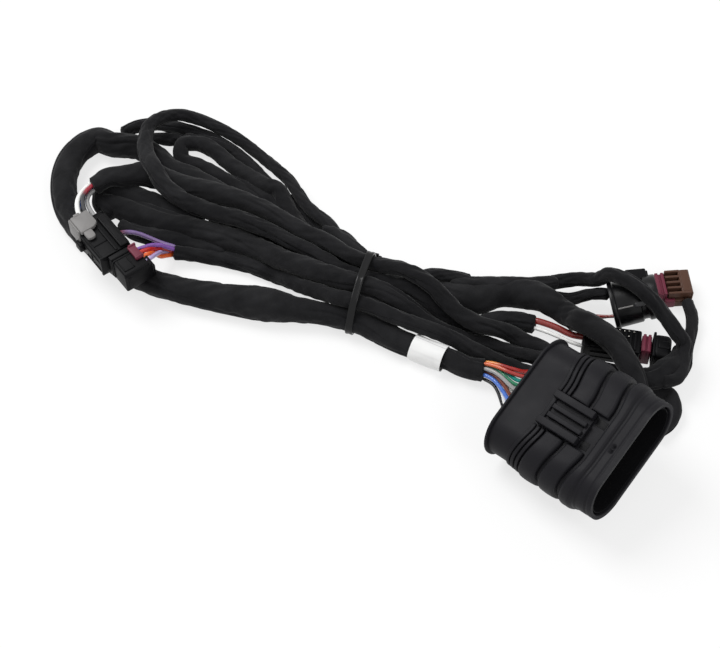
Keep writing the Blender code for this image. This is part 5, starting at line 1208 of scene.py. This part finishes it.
def oval_shell_grid():
    """Rings of the shell: from the seal's seat over the rear lip, along the outside and into the mouth."""
    y, z, ny, nz, top = oval_ring(OVAL_W / 2, OVAL_H / 2)
    marks = [RIDGE_START + k * (RIDGE_L + RIDGE_GROOVE) for k in range(3)]
    marks += [m + RIDGE_L for m in marks[:2]] + [0, OVAL_LIP_L, marks[2] + COLLAR_RIDGE_L]
    marks += [FINE_RIB_START + k * FINE_RIB_PITCH + w for k in range(FINE_RIBS) for w in (0, FINE_RIB_W)]
    marks += [OVAL_L / 2 + v * MM for flat in FLATS for v in flat[:2]]
    beside = np.array([-1.2, -0.7, -0.35, -0.15, 0, 0.15, 0.35, 0.7, 1.2]) * MM
    close = np.add.outer(marks, beside).ravel()
    x = np.concatenate([np.linspace(0, OVAL_L, 130), close])
    x = np.unique(np.round(x[(x >= 0) & (x <= OVAL_L)], 6))
    around, saddle = oval_rises(x)
    off = np.abs(y - SADDLE_MIDDLE)
    inside = top * np.clip((LATCH_SADDLE_W / 2 + SADDLE_FADE - off) / SADDLE_FADE, 0, 1)
    inside = inside * inside * (3 - 2 * inside)
    rise = around[:, None] * (1 - inside[None]) + saddle[:, None] * inside[None]
    for x_low, x_high, y_low, y_high in FLATS:
        in_x = np.minimum(x[:, None] - OVAL_L / 2 - x_low * MM, x_high * MM - x[:, None] + OVAL_L / 2)
        in_y = np.minimum(y[None] - y_low * MM, y_high * MM - y[None])
        rise = rise * (1 - top * np.clip(np.minimum(in_x, in_y) / (1.2 * MM) + 0.5, 0, 1))
    worn = 0.03 * MM * np.sin(y * 210 + 3 * np.sin(x[:, None] * 160)) * (1 - inside[None])
    rise = rise + worn
    for along_x, across in DIMPLES:
        far = np.hypot(x[:, None] - OVAL_L / 2 - along_x * MM, y[None] - across * MM)
        rise = rise - DIMPLE_DEPTH * np.exp(-(far / DIMPLE_R) ** 2) * top
    bow = RIDGE_BOW * np.clip((np.abs(y) - OVAL_W / 5) / (OVAL_W * 0.3), 0, 1)[None] ** 1.5
    bow = bow * np.clip(np.minimum(x - 4 * MM, OVAL_L - 4 * MM - x) / (9 * MM), 0, 1)[:, None]
    outer = np.stack([(x - OVAL_L / 2)[:, None] - bow, y + ny * rise, z + nz * rise], -1)

    bend = np.linspace(0, np.pi / 2, 5)
    rim = 0.5 * MM
    rear, mouth, wall = -OVAL_L / 2, OVAL_L / 2, OVAL_WALL
    back = inner_wall([rear + OVAL_REAR_DEPTH, rear + OVAL_REAR_DEPTH * 0.5,
                       *(rear + rim * (1 - np.sin(bend)))],
                      [wall, wall, *(wall - rim * (1 - np.cos(bend)))])
    front = inner_wall([*(mouth - rim * (1 - np.cos(bend))), mouth - 3 * MM, mouth - 3.2 * MM,
                        mouth - OVAL_MOUTH_DEPTH * 0.6, mouth - OVAL_MOUTH_DEPTH],
                       [*(MOUTH_WALL - rim * (1 - np.sin(bend))), MOUTH_WALL, MOUTH_WALL + 0.4 * MM, wall,
                        wall + 0.3 * MM])
    return np.concatenate([back, outer, front])


def mouth_shade_lining():
    """A thin dark sleeve in the mouth, painted shade: in at one inset of the oval and out at a smaller one.
    """
    way_in = [1.0, 2.0, 8.0, 16.0, 23.0]
    return inner_wall(OVAL_L / 2 - np.array(way_in + way_in[::-1]) * MM, np.array([2.5] * 5 + [2.1] * 5) * MM)


oval = seats["oval"]
shell_grid = oval_shell_grid()
shell_piece = make_piece("oval_shell_moulding", [shell_grid], SHELL, oval, smooth=50.0)
dressed(shell_piece, "black_plastic", "oval_shell")
# The lining is darker and matter than the shell: painted shade inside the mouth.
dressed(make_piece("mouth_shade_lining", [mouth_shade_lining()], CARRIER_AND_SHADE, oval, wraps=(0,)), "seal_rubber")
# The flats are real recesses; the darker plates laid in them are painted shade.
floor_z = OVAL_H / 2 / MM
shade_plates = [box_mm((x_low + 0.2, y_low + 0.2, floor_z - 0.6), (x_high - 0.2, y_high - 0.2, floor_z + 0.12), 0.1)
         for x_low, x_high, y_low, y_high in FLATS]
dressed(make_piece("shell_flats_painted_shade", shade_plates, BLACK, oval), "black_plastic")
print("oval shell", shell_grid.shape[:2])

# %% [markdown]
# ## Latch, seal and contacts
#
# The latch is a springy frame in the saddle: two thick rails outside, two thinner bars between them, dark
# slots down to the shell, and a thumb pad at the front. Inside the mouth stand rows of pins in their
# carrier, and at the back each wire enters a soft rubber collar. All are blocks or short turned rings.

# %% Latch, seal and contacts
LATCH_RAIL_W, LATCH_BAR_W, LATCH_EDGE = 3.4 * MM, 2.3 * MM, 0.35 * MM
COLLAR_L, COLLAR_WALL = 2.2, 0.75


def latch_blocks():
    """The latch's blocks: floor strips, two rails, two inner bars, a rear bridge and a front pad."""
    floor = OVAL_H / 2 + SEAT_GAP
    low, high = floor + LATCH_FLOOR_T, floor + LATCH_H
    half = LATCH_SADDLE_W / 2 - SEAT_GAP
    start = -OVAL_L / 2 + LATCH_START + 1.0 * MM
    stop = start + LATCH_L
    corners = [((start, -half, floor), (stop, half, low))]
    for side in (-1, 1):
        y_low, y_high = sorted((side * half, side * (half - LATCH_RAIL_W)))
        corners.append(((start, y_low, floor), (stop, y_high, high)))
        inner = side * 2.15 * MM - 0.55 * MM
        corners.append(((start + 2.6 * MM, inner - LATCH_BAR_W / 2, floor),
                        (stop - 0.6 * MM, inner + LATCH_BAR_W / 2, high - 0.6 * MM)))
    corners.append(((start - 0.2 * MM, -half, floor), (start + 1.8 * MM, half, low + 1.0 * MM)))
    corners.append(((stop - 1.4 * MM, -4.6 * MM, floor), (stop + 0.4 * MM, 2.8 * MM, low + 0.9 * MM)))
    made = [block(near, far, LATCH_EDGE) for near, far in corners]
    return [grid + np.array([0.0, SADDLE_MIDDLE, 0.0]) for grid in made]


dressed(make_piece("latch_moulding", latch_blocks(), SHELL, oval), "black_plastic", "latch_frame")

# The pin carrier takes the dark matt plastic: its own colour, and partly painted shade deep in the mouth.
for name, finish in (("pin_carrier", CARRIER_AND_SHADE), ("wire_seal", RUBBER), ("contact_pins", METAL)):
    nodes[name].data.materials.clear()
    nodes[name].data.materials.append(finish)

seal_face = (-OVAL_L / 2 + OVAL_REAR_DEPTH - SEAL_T - SEAT_GAP) / MM
collar_shape = ((0.0, 1.35), (0.3, 1.15), (0.6, 1.0), (COLLAR_L - 0.3, 0.96), (COLLAR_L, 0.80))
collars = []
for _, width, connector, spot, *_ in WIRES.values():
    if connector == "oval":
        profile = [(seal_face - far, (width / 2 + COLLAR_WALL) * share) for far, share in collar_shape]
        collars.append(turned_body(profile, 24, spot))
dressed(make_piece("seal_collars", collars, RUBBER, oval), "seal_rubber")
print(len(collars), "seal collars")

# %% [markdown]
# ## The connector pair
#
# The plug has a broad raised key rib, a rail and thin frame lines; the light grey lock clips over its
# corner with two rounded fingers. The socket takes it in a collar, and its wires leave through a cover
# at the side, under the magenta bar.

# %% Connector pair
plug, socket = seats["plug"], seats["socket"]
half_l, half_h = PLUG_L / MM / 2, PLUG_H / MM / 2
LOW_Y, HIGH_Y, STOP_X = -9.8, 6.3, 13.6
plug_grids = [
    box_mm((-half_l, LOW_Y, -half_h), (STOP_X, HIGH_Y, half_h), 1.0),
    plate([(-8.6, 1.6), (13.2, 1.6), (13.2, 6.5), (-8.6, 6.5)], 5.4, 7.9, 0.45, 0.6),
    box_mm((-8.2, 2.4, 7.6), (12.8, 2.8, 8.1), 0.15), box_mm((-8.2, 5.3, 7.6), (12.8, 5.7, 8.1), 0.15),
    box_mm((-3.4, -1.2, 5.4), (12.8, 0.1, 6.9), 0.25), box_mm((0.8, -9.2, 5.6), (12.8, -8.4, 6.5), 0.2),
    box_mm((4.4, -8.6, 5.6), (5.1, -1.0, 6.4), 0.2), box_mm((12.0, -10.1, -6.2), (13.4, 6.7, 6.4), 0.3),
    box_mm((-12.2, -9.9, -6.2), (-11.2, 6.6, 6.1), 0.3), box_mm((-7.6, -12.2, -3.6), (-2.8, -9.4, 1.2), 0.7),
    box_mm((-1.0, -10.2, -4.6), (12.0, -9.6, -4.0), 0.2), box_mm((-1.0, -10.2, 1.4), (12.0, -9.6, 2.2), 0.2),
    box_mm((3.4, -10.2, -4.4), (4.2, -9.6, 2.0), 0.2),
]
dressed(make_piece("plug_moulding", plug_grids, BLACK, plug), "black_plastic", "plug_housing")
lock_grids = [
    plate([(-15.0, -9.4), (-4.2, -9.4), (-4.2, -2.2), (-6.0, 0.3), (-15.0, 0.3)], 6.5, 8.7, 0.35, 0.9),
    plate([(-5.2, -8.4), (0.9, -8.4), (0.9, -4.0), (-5.2, -4.0)], 6.4, 8.3, 0.4, 1.9),
    plate([(-15.8, -7.2), (-14.2, -7.2), (-14.2, -4.0), (-15.8, -4.0)], 5.0, 8.9, 0.3, 0.5),
    box_mm((-15.0, -10.5, -1.4), (-5.4, -9.2, 8.3), 0.6), box_mm((-15.2, -9.6, 0.6), (-13.8, -1.0, 3.6), 0.3),
]
dressed(make_piece("grey_lock_moulding", lock_grids, GREY, plug), "grey_plastic", "grey_lock")
socket_grids = [
    box_mm((-5.6, -6.0, -6.25), (8.9, 7.6, 6.25), 1.0),
    box_mm((-5.5, -6.6, -5.6), (-2.6, 7.0, 6.9), 0.5), box_mm((-2.0, -6.5, -5.2), (-1.3, 7.0, 6.6), 0.25),
    box_mm((-4.6, 7.0, -5.6), (8.6, 10.6, 2.0), 0.7), box_mm((7.6, -6.2, -5.2), (9.2, 9.2, 5.3), 0.5),
    box_mm((-0.6, -4.6, 6.0), (6.6, -4.0, 6.7), 0.2), box_mm((-0.6, 0.6, 6.0), (6.6, 1.2, 6.7), 0.2),
    box_mm((6.0, -4.6, 6.0), (6.6, 1.2, 6.7), 0.2), box_mm((8.6, -4.6, -3.4), (9.5, -3.2, 4.0), 0.3),
]
dressed(make_piece("socket_moulding", socket_grids, BLACK, socket), "black_plastic", "socket_housing")
bar_grids = [box_mm((-4.2, 3.4, 6.3), (4.3, 7.4, 8.0), 0.5), box_mm((-4.5, 4.0, 6.2), (-3.4, 7.9, 8.5), 0.35),
             box_mm((2.9, 3.2, 6.3), (4.0, 7.8, 8.4), 0.35)]
dressed(make_piece("socket_bar_moulding", bar_grids, MAGENTA, socket), "magenta_plastic", "socket_lock")
dressed(make_piece("plug_collars", wire_collars("plug", -half_l, -1), RUBBER, plug), "seal_rubber")

# %% [markdown]
# ## Boot and sensor plug
#
# The boot is one turned profile with a rim, a waist groove and a mouth. A thin pale ridge and a glossier
# band lie on its side, and a block stands on it. The ridge's pale grey and the band's lighter black are
# painted highlights. The brown plug is a comb: a floor, five teeth with dark slots between, and a solid
# nose. Its magenta lock has two columns, and a pale grey block lies behind it.

# %% Boot and sensor plug
BOOT_SHOWN = ((129.4, 9.9, 15.0), (0.0, -15.0, 5.6))
TOWER_SHOWN = ((130.2, 18.6, 20.8), (0.0, 0.0, 6.0))
BOOT_STRETCH, BAND_TURN = 1.02, math.radians(45.0)
r, half_b = BOOT_D / MM / 2 - 0.5, BOOT_L / MM / 2
boot_profile = [(-half_b + 3.0, r - 3.2), (-half_b + 0.4, r - 2.4), (-half_b, r - 2.0), (-half_b, r - 0.6),
                (-half_b + 0.2, r - 0.15), (-half_b + 0.6, r), (-half_b + 1.9, r), (-half_b + 2.2, r - 0.2),
                (-half_b + 2.5, r - 0.75), (-half_b + 3.2, r - 0.8), (-4.0, r - 0.9), (1.6, r - 1.1),
                (2.1, r - 1.3), (2.5, r - 2.0), (3.0, r - 2.2), (4.4, r - 2.2), (4.9, r - 2.0),
                (5.3, r - 1.3), (5.8, r - 1.1),
                (half_b - 1.2, r - 1.3), (half_b - 0.4, r - 1.4), (half_b - 0.05, r - 1.7), (half_b, r - 2.1),
                (half_b - 0.3, r - 2.8), (half_b - 2.0, r - 3.0), (half_b - 7.0, r - 3.1)]
boot = seat_matrix(BOOT_SHOWN)
boot_profile = [((x + half_b) * BOOT_STRETCH - half_b, size) for x, size in boot_profile]
boot_piece = make_piece("boot_moulding", [turned_body(boot_profile, 128)], BOOT, boot, smooth=35.0)
dressed(boot_piece, "black_plastic", "round_boot")
cos_turn, sin_turn = math.cos(BAND_TURN), math.sin(BAND_TURN)
turn_up = np.array([[1, 0, 0], [0, cos_turn, -sin_turn], [0, sin_turn, cos_turn]])
# The ridge is real; its pale grey plastic is a painted highlight along the boot.
ridge = [box_mm((-8.2, -0.35, r - 1.6), (-1.0, 0.35, r - 0.45), 0.3) @ turn_up.T]
dressed(make_piece("boot_ridge_painted_highlight", ridge, GREY, boot), "black_plastic")
# The band is glossier than the boot, and its lighter colour is a painted highlight.
highlight = [box_mm((-0.4, -1.3, r - 1.8), (7.4, 1.1, r - 0.72), 0.4) @ turn_up.T]
dressed(make_piece("boot_painted_highlight_band", highlight, GLOSS_AND_HIGHLIGHT, boot), "black_plastic")
tower = [box_mm((-5.4, -3.0, -4.2), (4.4, 3.0, 4.0), 0.7), box_mm((3.6, -2.6, -5.0), (5.4, 2.4, 2.8), 0.4)]
dressed(make_piece("boot_tower", tower, BLACK, seat_matrix(TOWER_SHOWN)), "black_plastic")

sensor = seats["sensor"]
tooth, slots = 1.25, 4
pitch = (SENSOR_W / MM - tooth) / slots
comb = [box_mm((-5.75, -7.0, -5.0), (5.75, 7.0, 2.3), 0.6), box_mm((0.6, -7.0, -1.0), (5.75, 7.0, 5.0), 0.7),
        box_mm((5.0, -7.2, -4.4), (6.1, 7.2, 4.4), 0.4), box_mm((1.4, -5.8, 4.6), (4.6, 5.8, 5.25), 0.3),
        box_mm((-4.6, -8.2, -4.6), (5.2, -6.4, 0.4), 0.7)]
comb += [box_mm((-5.75, -7.0 + k * pitch, -1.0), (1.4, -7.0 + k * pitch + tooth, 5.0), 0.3)
         for k in range(slots + 1)]
dressed(make_piece("sensor_moulding", comb, BROWN, sensor), "brown_plastic", "sensor_plug")
left = -SENSOR_L / MM / 2 - SEAT_GAP / MM
sensor_lock_grids = [box_mm((left - 4.8, -6.2, -5.0), (left, 6.2, 3.4), 0.5),
                     box_mm((left - 1.7, -6.4, -4.0), (left - 0.2, 6.4, 4.3), 0.3),
                     box_mm((left - 4.5, -6.4, -4.0), (left - 2.9, 6.4, 4.2), 0.3),
                     box_mm((left - 1.5, -8.6, -4.4), (left + 3.6, -6.0, 1.0), 0.6)]
sensor_lock_piece = make_piece("sensor_lock_moulding", sensor_lock_grids, MAGENTA, sensor)
dressed(sensor_lock_piece, "magenta_plastic", "sensor_lock")
pale_block = [box_mm((left - 7.6, -2.8, -4.6), (left - 4.9, 5.4, 2.4), 0.4)]
dressed(make_piece("sensor_pale_block", pale_block, GREY, sensor), "grey_plastic")
print("comb of", slots, "slots")

# %% [markdown]
# ## Rear plug and its mating half
#
# A black block with a collar at its wires, ribs with bright contact tips between them, the magenta lock
# and the rounded mating half.

# %% Rear plug
REAR_SHOWN, REAR_RIB_PITCH = ((117.6, -9.8, 7.2), (0.0, 0.0, -10.0)), 2.2
rear = seat_matrix(REAR_SHOWN)
rl, rw, rh = REAR_PLUG_L / MM / 2, REAR_PLUG_W / MM / 2, REAR_PLUG_H / MM / 2
rear_grids = [
    box_mm((-rl, -rw, -rh), (rl, rw, rh), 1.0),
    box_mm((-rl + 0.6, -rw - 0.7, -rh + 0.6), (-rl + 3.4, rw + 0.7, rh + 0.7), 0.4),
    box_mm((-rl + 4.0, -rw - 0.5, 1.0), (2.0, -rw + 0.6, 2.0), 0.3),
    box_mm((-rl + 4.0, -rw - 0.3, -2.8), (6.0, -rw + 0.6, -2.0), 0.25),
    box_mm((-rl + 4.4, -2.0, rh - 0.4), (-1.0, -1.2, rh + 0.6), 0.25),
    box_mm((-rl + 4.4, 2.6, rh - 0.4), (-1.0, 3.4, rh + 0.6), 0.25),
]
ribs_at = [rl - REAR_RIB_PITCH * k for k in range(1, 7)]
rear_grids += [box_mm((x - 1.1, -rw + 1.0, rh - 0.6), (x, rw - 1.0, rh + 0.8), 0.25) for x in ribs_at]
dressed(make_piece("rear_plug_moulding", rear_grids, BLACK, rear), "black_plastic", "rear_plug")
tips = [box_mm((ribs_at[k] - 1.9, y, rh - 0.2), (ribs_at[k] - 1.3, y + 0.6, rh + 0.7), 0.15)
        for k, y in ((0, 4.2), (1, 4.4), (2, 4.2), (3, 4.5), (4, 4.0), (1, 1.4), (3, 1.0))]
dressed(make_piece("rear_tips", tips, METAL, rear), "contact_metal")
x, lock_w = rl + SEAT_GAP / MM, rw - 2.0
rear_lock_grids = [box_mm((x, -lock_w, -rh), (x + REAR_LOCK_L / MM, lock_w, rh - 0.8), 0.5)]
rear_lock_grids += [box_mm((x + near, -lock_w - 0.3, -rh + 1), (x + near + 1.4, lock_w + 0.3, rh + 0.1), 0.35)
                    for near in (0.5, 2.8)]
dressed(make_piece("rear_lock_moulding", rear_lock_grids, MAGENTA, rear), "magenta_plastic", "rear_lock")
x += (REAR_LOCK_L + SEAT_GAP) / MM
cap_grids = [box_mm((x, -rw, -rh), (x + REAR_CAP_L / MM, rw, rh), 2.6),
             box_mm((x + 0.3, -rw - 0.3, -rh + 1), (x + 1.6, rw + 0.3, rh + 0.2), 0.5),
             box_mm((x + 2.6, -2.2, rh - 1.6), (x + 8.2, 2.2, rh + 0.6), 0.8)]
dressed(make_piece("rear_cap_moulding", cap_grids, BLACK, rear), "black_plastic", "rear_cap")

# %% [markdown]
# ## Cable tie
#
# The strap's way is the hull of all round sections that it crosses: for each direction the support
# h = max(spot . way + radius), and neighbouring support lines meet in the outline's points. The strap's
# section, a flat oval with a groove down its back, is carried along that loop. The head is a block on
# the strap with three smaller blocks on it.

# %% Cable tie
def strap_outline(clear, sides=160):
    """Outline round the looms at the tie as (across, up), and the tie's own axes."""
    ahead, side = tie_axes()
    middle = np.array([*TIE_PLACE, 0.0]) - HANK_SHIFT
    spots, sizes_there = [], []
    for name in LOOMS:
        t = np.linspace(0, 1, 12, endpoint=False)[:, None, None]
        path, radius = paths[name], radii[name]
        fine = (path[None, :-1] * (1 - t) + path[None, 1:] * t).reshape(-1, 3) - middle
        thick = (radius[None, :-1] * (1 - t[..., 0]) + radius[None, 1:] * t[..., 0]).ravel()
        off = np.maximum(np.abs(fine @ ahead) - TIE_STRAP_W / 2, 0.0)
        near = (off < thick) & (np.abs(fine @ side) < 40 * MM)
        spots.append(np.column_stack([fine[near] @ side, fine[near][:, 2]]))
        sizes_there.append(np.sqrt(thick[near] ** 2 - off[near] ** 2))
    spots, sizes_there = np.vstack(spots), np.concatenate(sizes_there) + clear
    angles = np.linspace(0, 2 * math.pi, sides, endpoint=False)
    way = np.column_stack([np.cos(angles), np.sin(angles)])
    support = (spots @ way.T + sizes_there[:, None]).max(axis=0)
    next_support, next_way = np.roll(support, -1), np.roll(way, -1, axis=0)
    cross = way[:, 0] * next_way[:, 1] - way[:, 1] * next_way[:, 0]
    x = (support * next_way[:, 1] - next_support * way[:, 1]) / cross
    y = (next_support * way[:, 0] - support * next_way[:, 0]) / cross
    return np.column_stack([x, y]), ahead, side, middle


TIE_HEAD_TURN, STRAP_RINGS, STRAP_SPOTS, EVEN_ROUNDS = math.radians(5.0), 240, 28, 6
loop, tie_ahead, tie_side, tie_middle = strap_outline(SEAT_GAP + TIE_STRAP_T / 2)
loop[:, 1] = np.maximum(loop[:, 1], TIE_STRAP_T / 2)
closed = np.vstack([loop, loop[:1]])
gone = length_along(closed)
loop = points_at(np.linspace(0, gone[-1], STRAP_RINGS + 1)[:-1], gone, closed)
for _ in range(EVEN_ROUNDS):
    loop = (np.roll(loop, 1, axis=0) + 2 * loop + np.roll(loop, -1, axis=0)) / 4
along_loop = np.roll(loop, -1, axis=0) - np.roll(loop, 1, axis=0)
out_loop = np.column_stack([along_loop[:, 1], -along_loop[:, 0]])
out_loop /= np.linalg.norm(out_loop, axis=1)[:, None]
s_turn = np.linspace(0, 2 * np.pi, STRAP_SPOTS, endpoint=False)
flat_x = np.sign(np.cos(s_turn)) * np.abs(np.cos(s_turn)) ** 0.35 * TIE_STRAP_W / 2
flat_z = np.sign(np.sin(s_turn)) * np.abs(np.sin(s_turn)) ** 0.5 * TIE_STRAP_T / 2
flat_z = flat_z - 0.25 * MM * (np.sin(s_turn) > 0.5) * np.exp(-(flat_x / (0.7 * MM)) ** 2)
across_up = np.stack([tie_side, [0.0, 0.0, 1.0]])
strap = (tie_middle + (loop @ across_up)[:, None] + flat_x[None, :, None] * tie_ahead
         + flat_z[None, :, None] * (out_loop @ across_up)[:, None])

k = int(np.argmax(loop @ np.array([math.cos(TIE_HEAD_TURN), math.sin(TIE_HEAD_TURN)])))
tie_seat = Matrix(np.column_stack([tie_ahead, tie_side, [0, 0, 1]]).tolist()).to_4x4()
tie_seat = (Matrix.Translation(Vector(tie_middle)) @ tie_seat @ Matrix.Translation(Vector((0, *loop[k])))
            @ Matrix.Rotation(TIE_HEAD_TURN, 4, "X"))
head_grids = [box_mm((-3.0, -0.2, -3.2), (3.0, 3.9, 3.2), 0.5),
              box_mm((-2.5, 3.5, -2.7), (2.5, 4.2, 2.7), 0.3),
              box_mm((-1.8, 1.9, 2.4), (1.8, 3.1, 6.2), 0.4), box_mm((-2.2, 0.4, 2.9), (2.2, 1.5, 3.7), 0.3)]
turn, middle = turn_and_middle(tie_seat)
tie_grids = [strap] + [grid @ turn.T + middle for grid in head_grids]
dressed(make_piece("tie_moulding", tie_grids, NYLON, wraps=(0,)), "tie_nylon", "cable_tie")
print("tie loop", round(gone[-1] * 1000), "mm")

# %% [markdown]
# ## Label
#
# A strip of paper wrapped round the trunk: a thin sleeve that follows the bend, with a lapped edge, a
# slight crease and one thin printed line along it, drawn by its own coordinates.

# %% Label
LABEL_SPOTS, LABEL_STEPS, LABEL_SHIFT, LABEL_EVEN_ROUNDS = 96, 40, -3.0 * MM, 8
LINE_SHARE, LINE_W = 0.205, 0.22 * MM
main_path = paths["main_loom"]
gone = length_along(main_path)
marks = np.linspace(LABEL_PLACE, LABEL_PLACE + LABEL_L, LABEL_STEPS) + LABEL_SHIFT
spots = points_at(marks, gone, main_path)
for _ in range(LABEL_EVEN_ROUNDS):
    spots[1:-1] = (spots[:-2] + 2 * spots[1:-1] + spots[2:]) / 4
size = np.interp(marks, gone, radii["main_loom"]).max() + SEAT_GAP + LABEL_SLACK
angles = np.linspace(0, 2 * np.pi, LABEL_SPOTS, endpoint=False)
round_by, along_by = angles[None], marks[:, None]
crease = 0.10 * MM * np.cos(3 * round_by + along_by * 260) + 0.07 * MM * np.cos(5 * round_by - along_by * 420)
lap = 0.18 * MM * ((round_by - 2.4) % (2 * np.pi)) / (2 * np.pi)
inside_wall = tube(spots, np.full((LABEL_STEPS, LABEL_SPOTS), size), angles)
outside_wall = tube(spots, size + LABEL_T + crease + lap - 0.12 * MM, angles)
edges = [0.5 * (inside_wall[:1] + outside_wall[:1]), 0.5 * (inside_wall[-1:] + outside_wall[-1:])]
sleeve = np.concatenate([edges[1], inside_wall[::-1], edges[0], outside_wall])
u = np.concatenate([[marks[-1]], marks[::-1], [marks[0]], marks, [marks[-1]]])
v = np.linspace(0, 2 * np.pi, LABEL_SPOTS + 1) * size


def label_material():
    """Paper: faint fibres and handling marks, and one thin grey line at a fixed v of its own map."""
    made, tree, shader, space = new_material("label_paper", 0.55, 0.3)
    split = put(tree, "SeparateXYZ", {0: own_map(tree)})
    off = sums(tree, "ABSOLUTE", sums(tree, "SUBTRACT", split.outputs[1], LINE_SHARE * 2 * math.pi * size))
    line = remap(tree, off, LINE_W * 0.5, LINE_W, 1.0, 0.0)
    marks_mask = remap(tree, noise(tree, space, 260.0, 5.0, 0.7), 0.55, 0.8)
    fibre = noise(tree, space, 2200.0, 3.0, 0.6)
    tone = blend_colour(tree, sums(tree, "MULTIPLY", marks_mask, 0.5),
                        (0.80, 0.80, 0.795), (0.68, 0.68, 0.67))
    inked = tinted(tree, tone, sums(tree, "MULTIPLY", line, 0.55), (0.25, 0.25, 0.27))
    tree.links.new(inked, shader.inputs["Base Color"])
    raise_relief(tree, shader, 0.15, 0.05 * MM, fibre)
    return made


label = make_piece("label_strip", [sleeve], label_material(), smooth=50.0, maps=[(u, v)], wraps=(0,))
dressed(label, "label_paper", "label_sleeve")
print("label", sleeve.shape[:2])

# %% [markdown]
# ## Table and light
#
# The harness lies on a plain white table. For the camera and for reflections the table and the world are
# white by Light Path, which adds no light to the object. Two soft lamps and a grey sky light it. The
# black finishes are written darker than they look, because their gloss adds light to them.

# %% Table, world and lamps
SKY_LEVEL, WHITE_SHARE = 0.50, 0.72
TABLE_HALF, TABLE_LEVEL = 6.0, -0.0002


def floor_material():
    """Pale table: partly plain white for the camera, so that only a soft shadow stays."""
    made = bpy.data.materials.new("table_top")
    made.use_nodes = True
    tree = made.node_tree
    tree.nodes.clear()
    out = put(tree, "OutputMaterial")
    paint = put(tree, "BsdfDiffuse", {"Color": (0.92, 0.92, 0.92, 1.0)})
    glow = put(tree, "Emission", {"Color": (1.0, 1.0, 1.0, 1.0), "Strength": 1.0})
    share = sums(tree, "MULTIPLY", seen_directly(tree), WHITE_SHARE)
    mixed = put(tree, "MixShader", {0: share, 1: paint.outputs[0], 2: glow.outputs[0]})
    tree.links.new(mixed.outputs[0], out.inputs["Surface"])
    return made


floor_mesh = bpy.data.meshes.new("table")
floor_mesh.from_pydata([(x * TABLE_HALF, y * TABLE_HALF, TABLE_LEVEL)
                        for x, y in ((-1, -1), (1, -1), (1, 1), (-1, 1))], [], [(0, 1, 2, 3)])
floor_mesh.materials.append(floor_material())
floor = bpy.data.objects.new("table", floor_mesh)
bpy.context.scene.collection.objects.link(floor)

world = bpy.data.worlds.new("studio")
bpy.context.scene.world = world
world.use_nodes = True
tree = world.node_tree
sky = tree.nodes["Background"]
tree.links.new(remap(tree, seen_directly(tree), 0.0, 1.0, SKY_LEVEL, 1.0), sky.inputs["Strength"])
sky.inputs["Color"].default_value = (1.0, 1.0, 1.0, 1.0)


def lamp(name, place, size, watts):
    """A square area lamp that faces the middle of the hank."""
    data = bpy.data.lights.new(name, "AREA")
    data.size, data.energy = size, watts
    made = bpy.data.objects.new(name, data)
    made.location = place
    made.rotation_euler = (Vector(place) - TARGET).to_track_quat("Z", "Y").to_euler()
    bpy.context.scene.collection.objects.link(made)


lamp("window_lamp", (-0.7, 0.5, 1.3), 0.8, 17.0)
lamp("fill_lamp", (0.8, -0.7, 1.0), 0.7, 5.0)
bpy.context.scene.view_settings.view_transform = "Standard"
print("lamps and table are set")
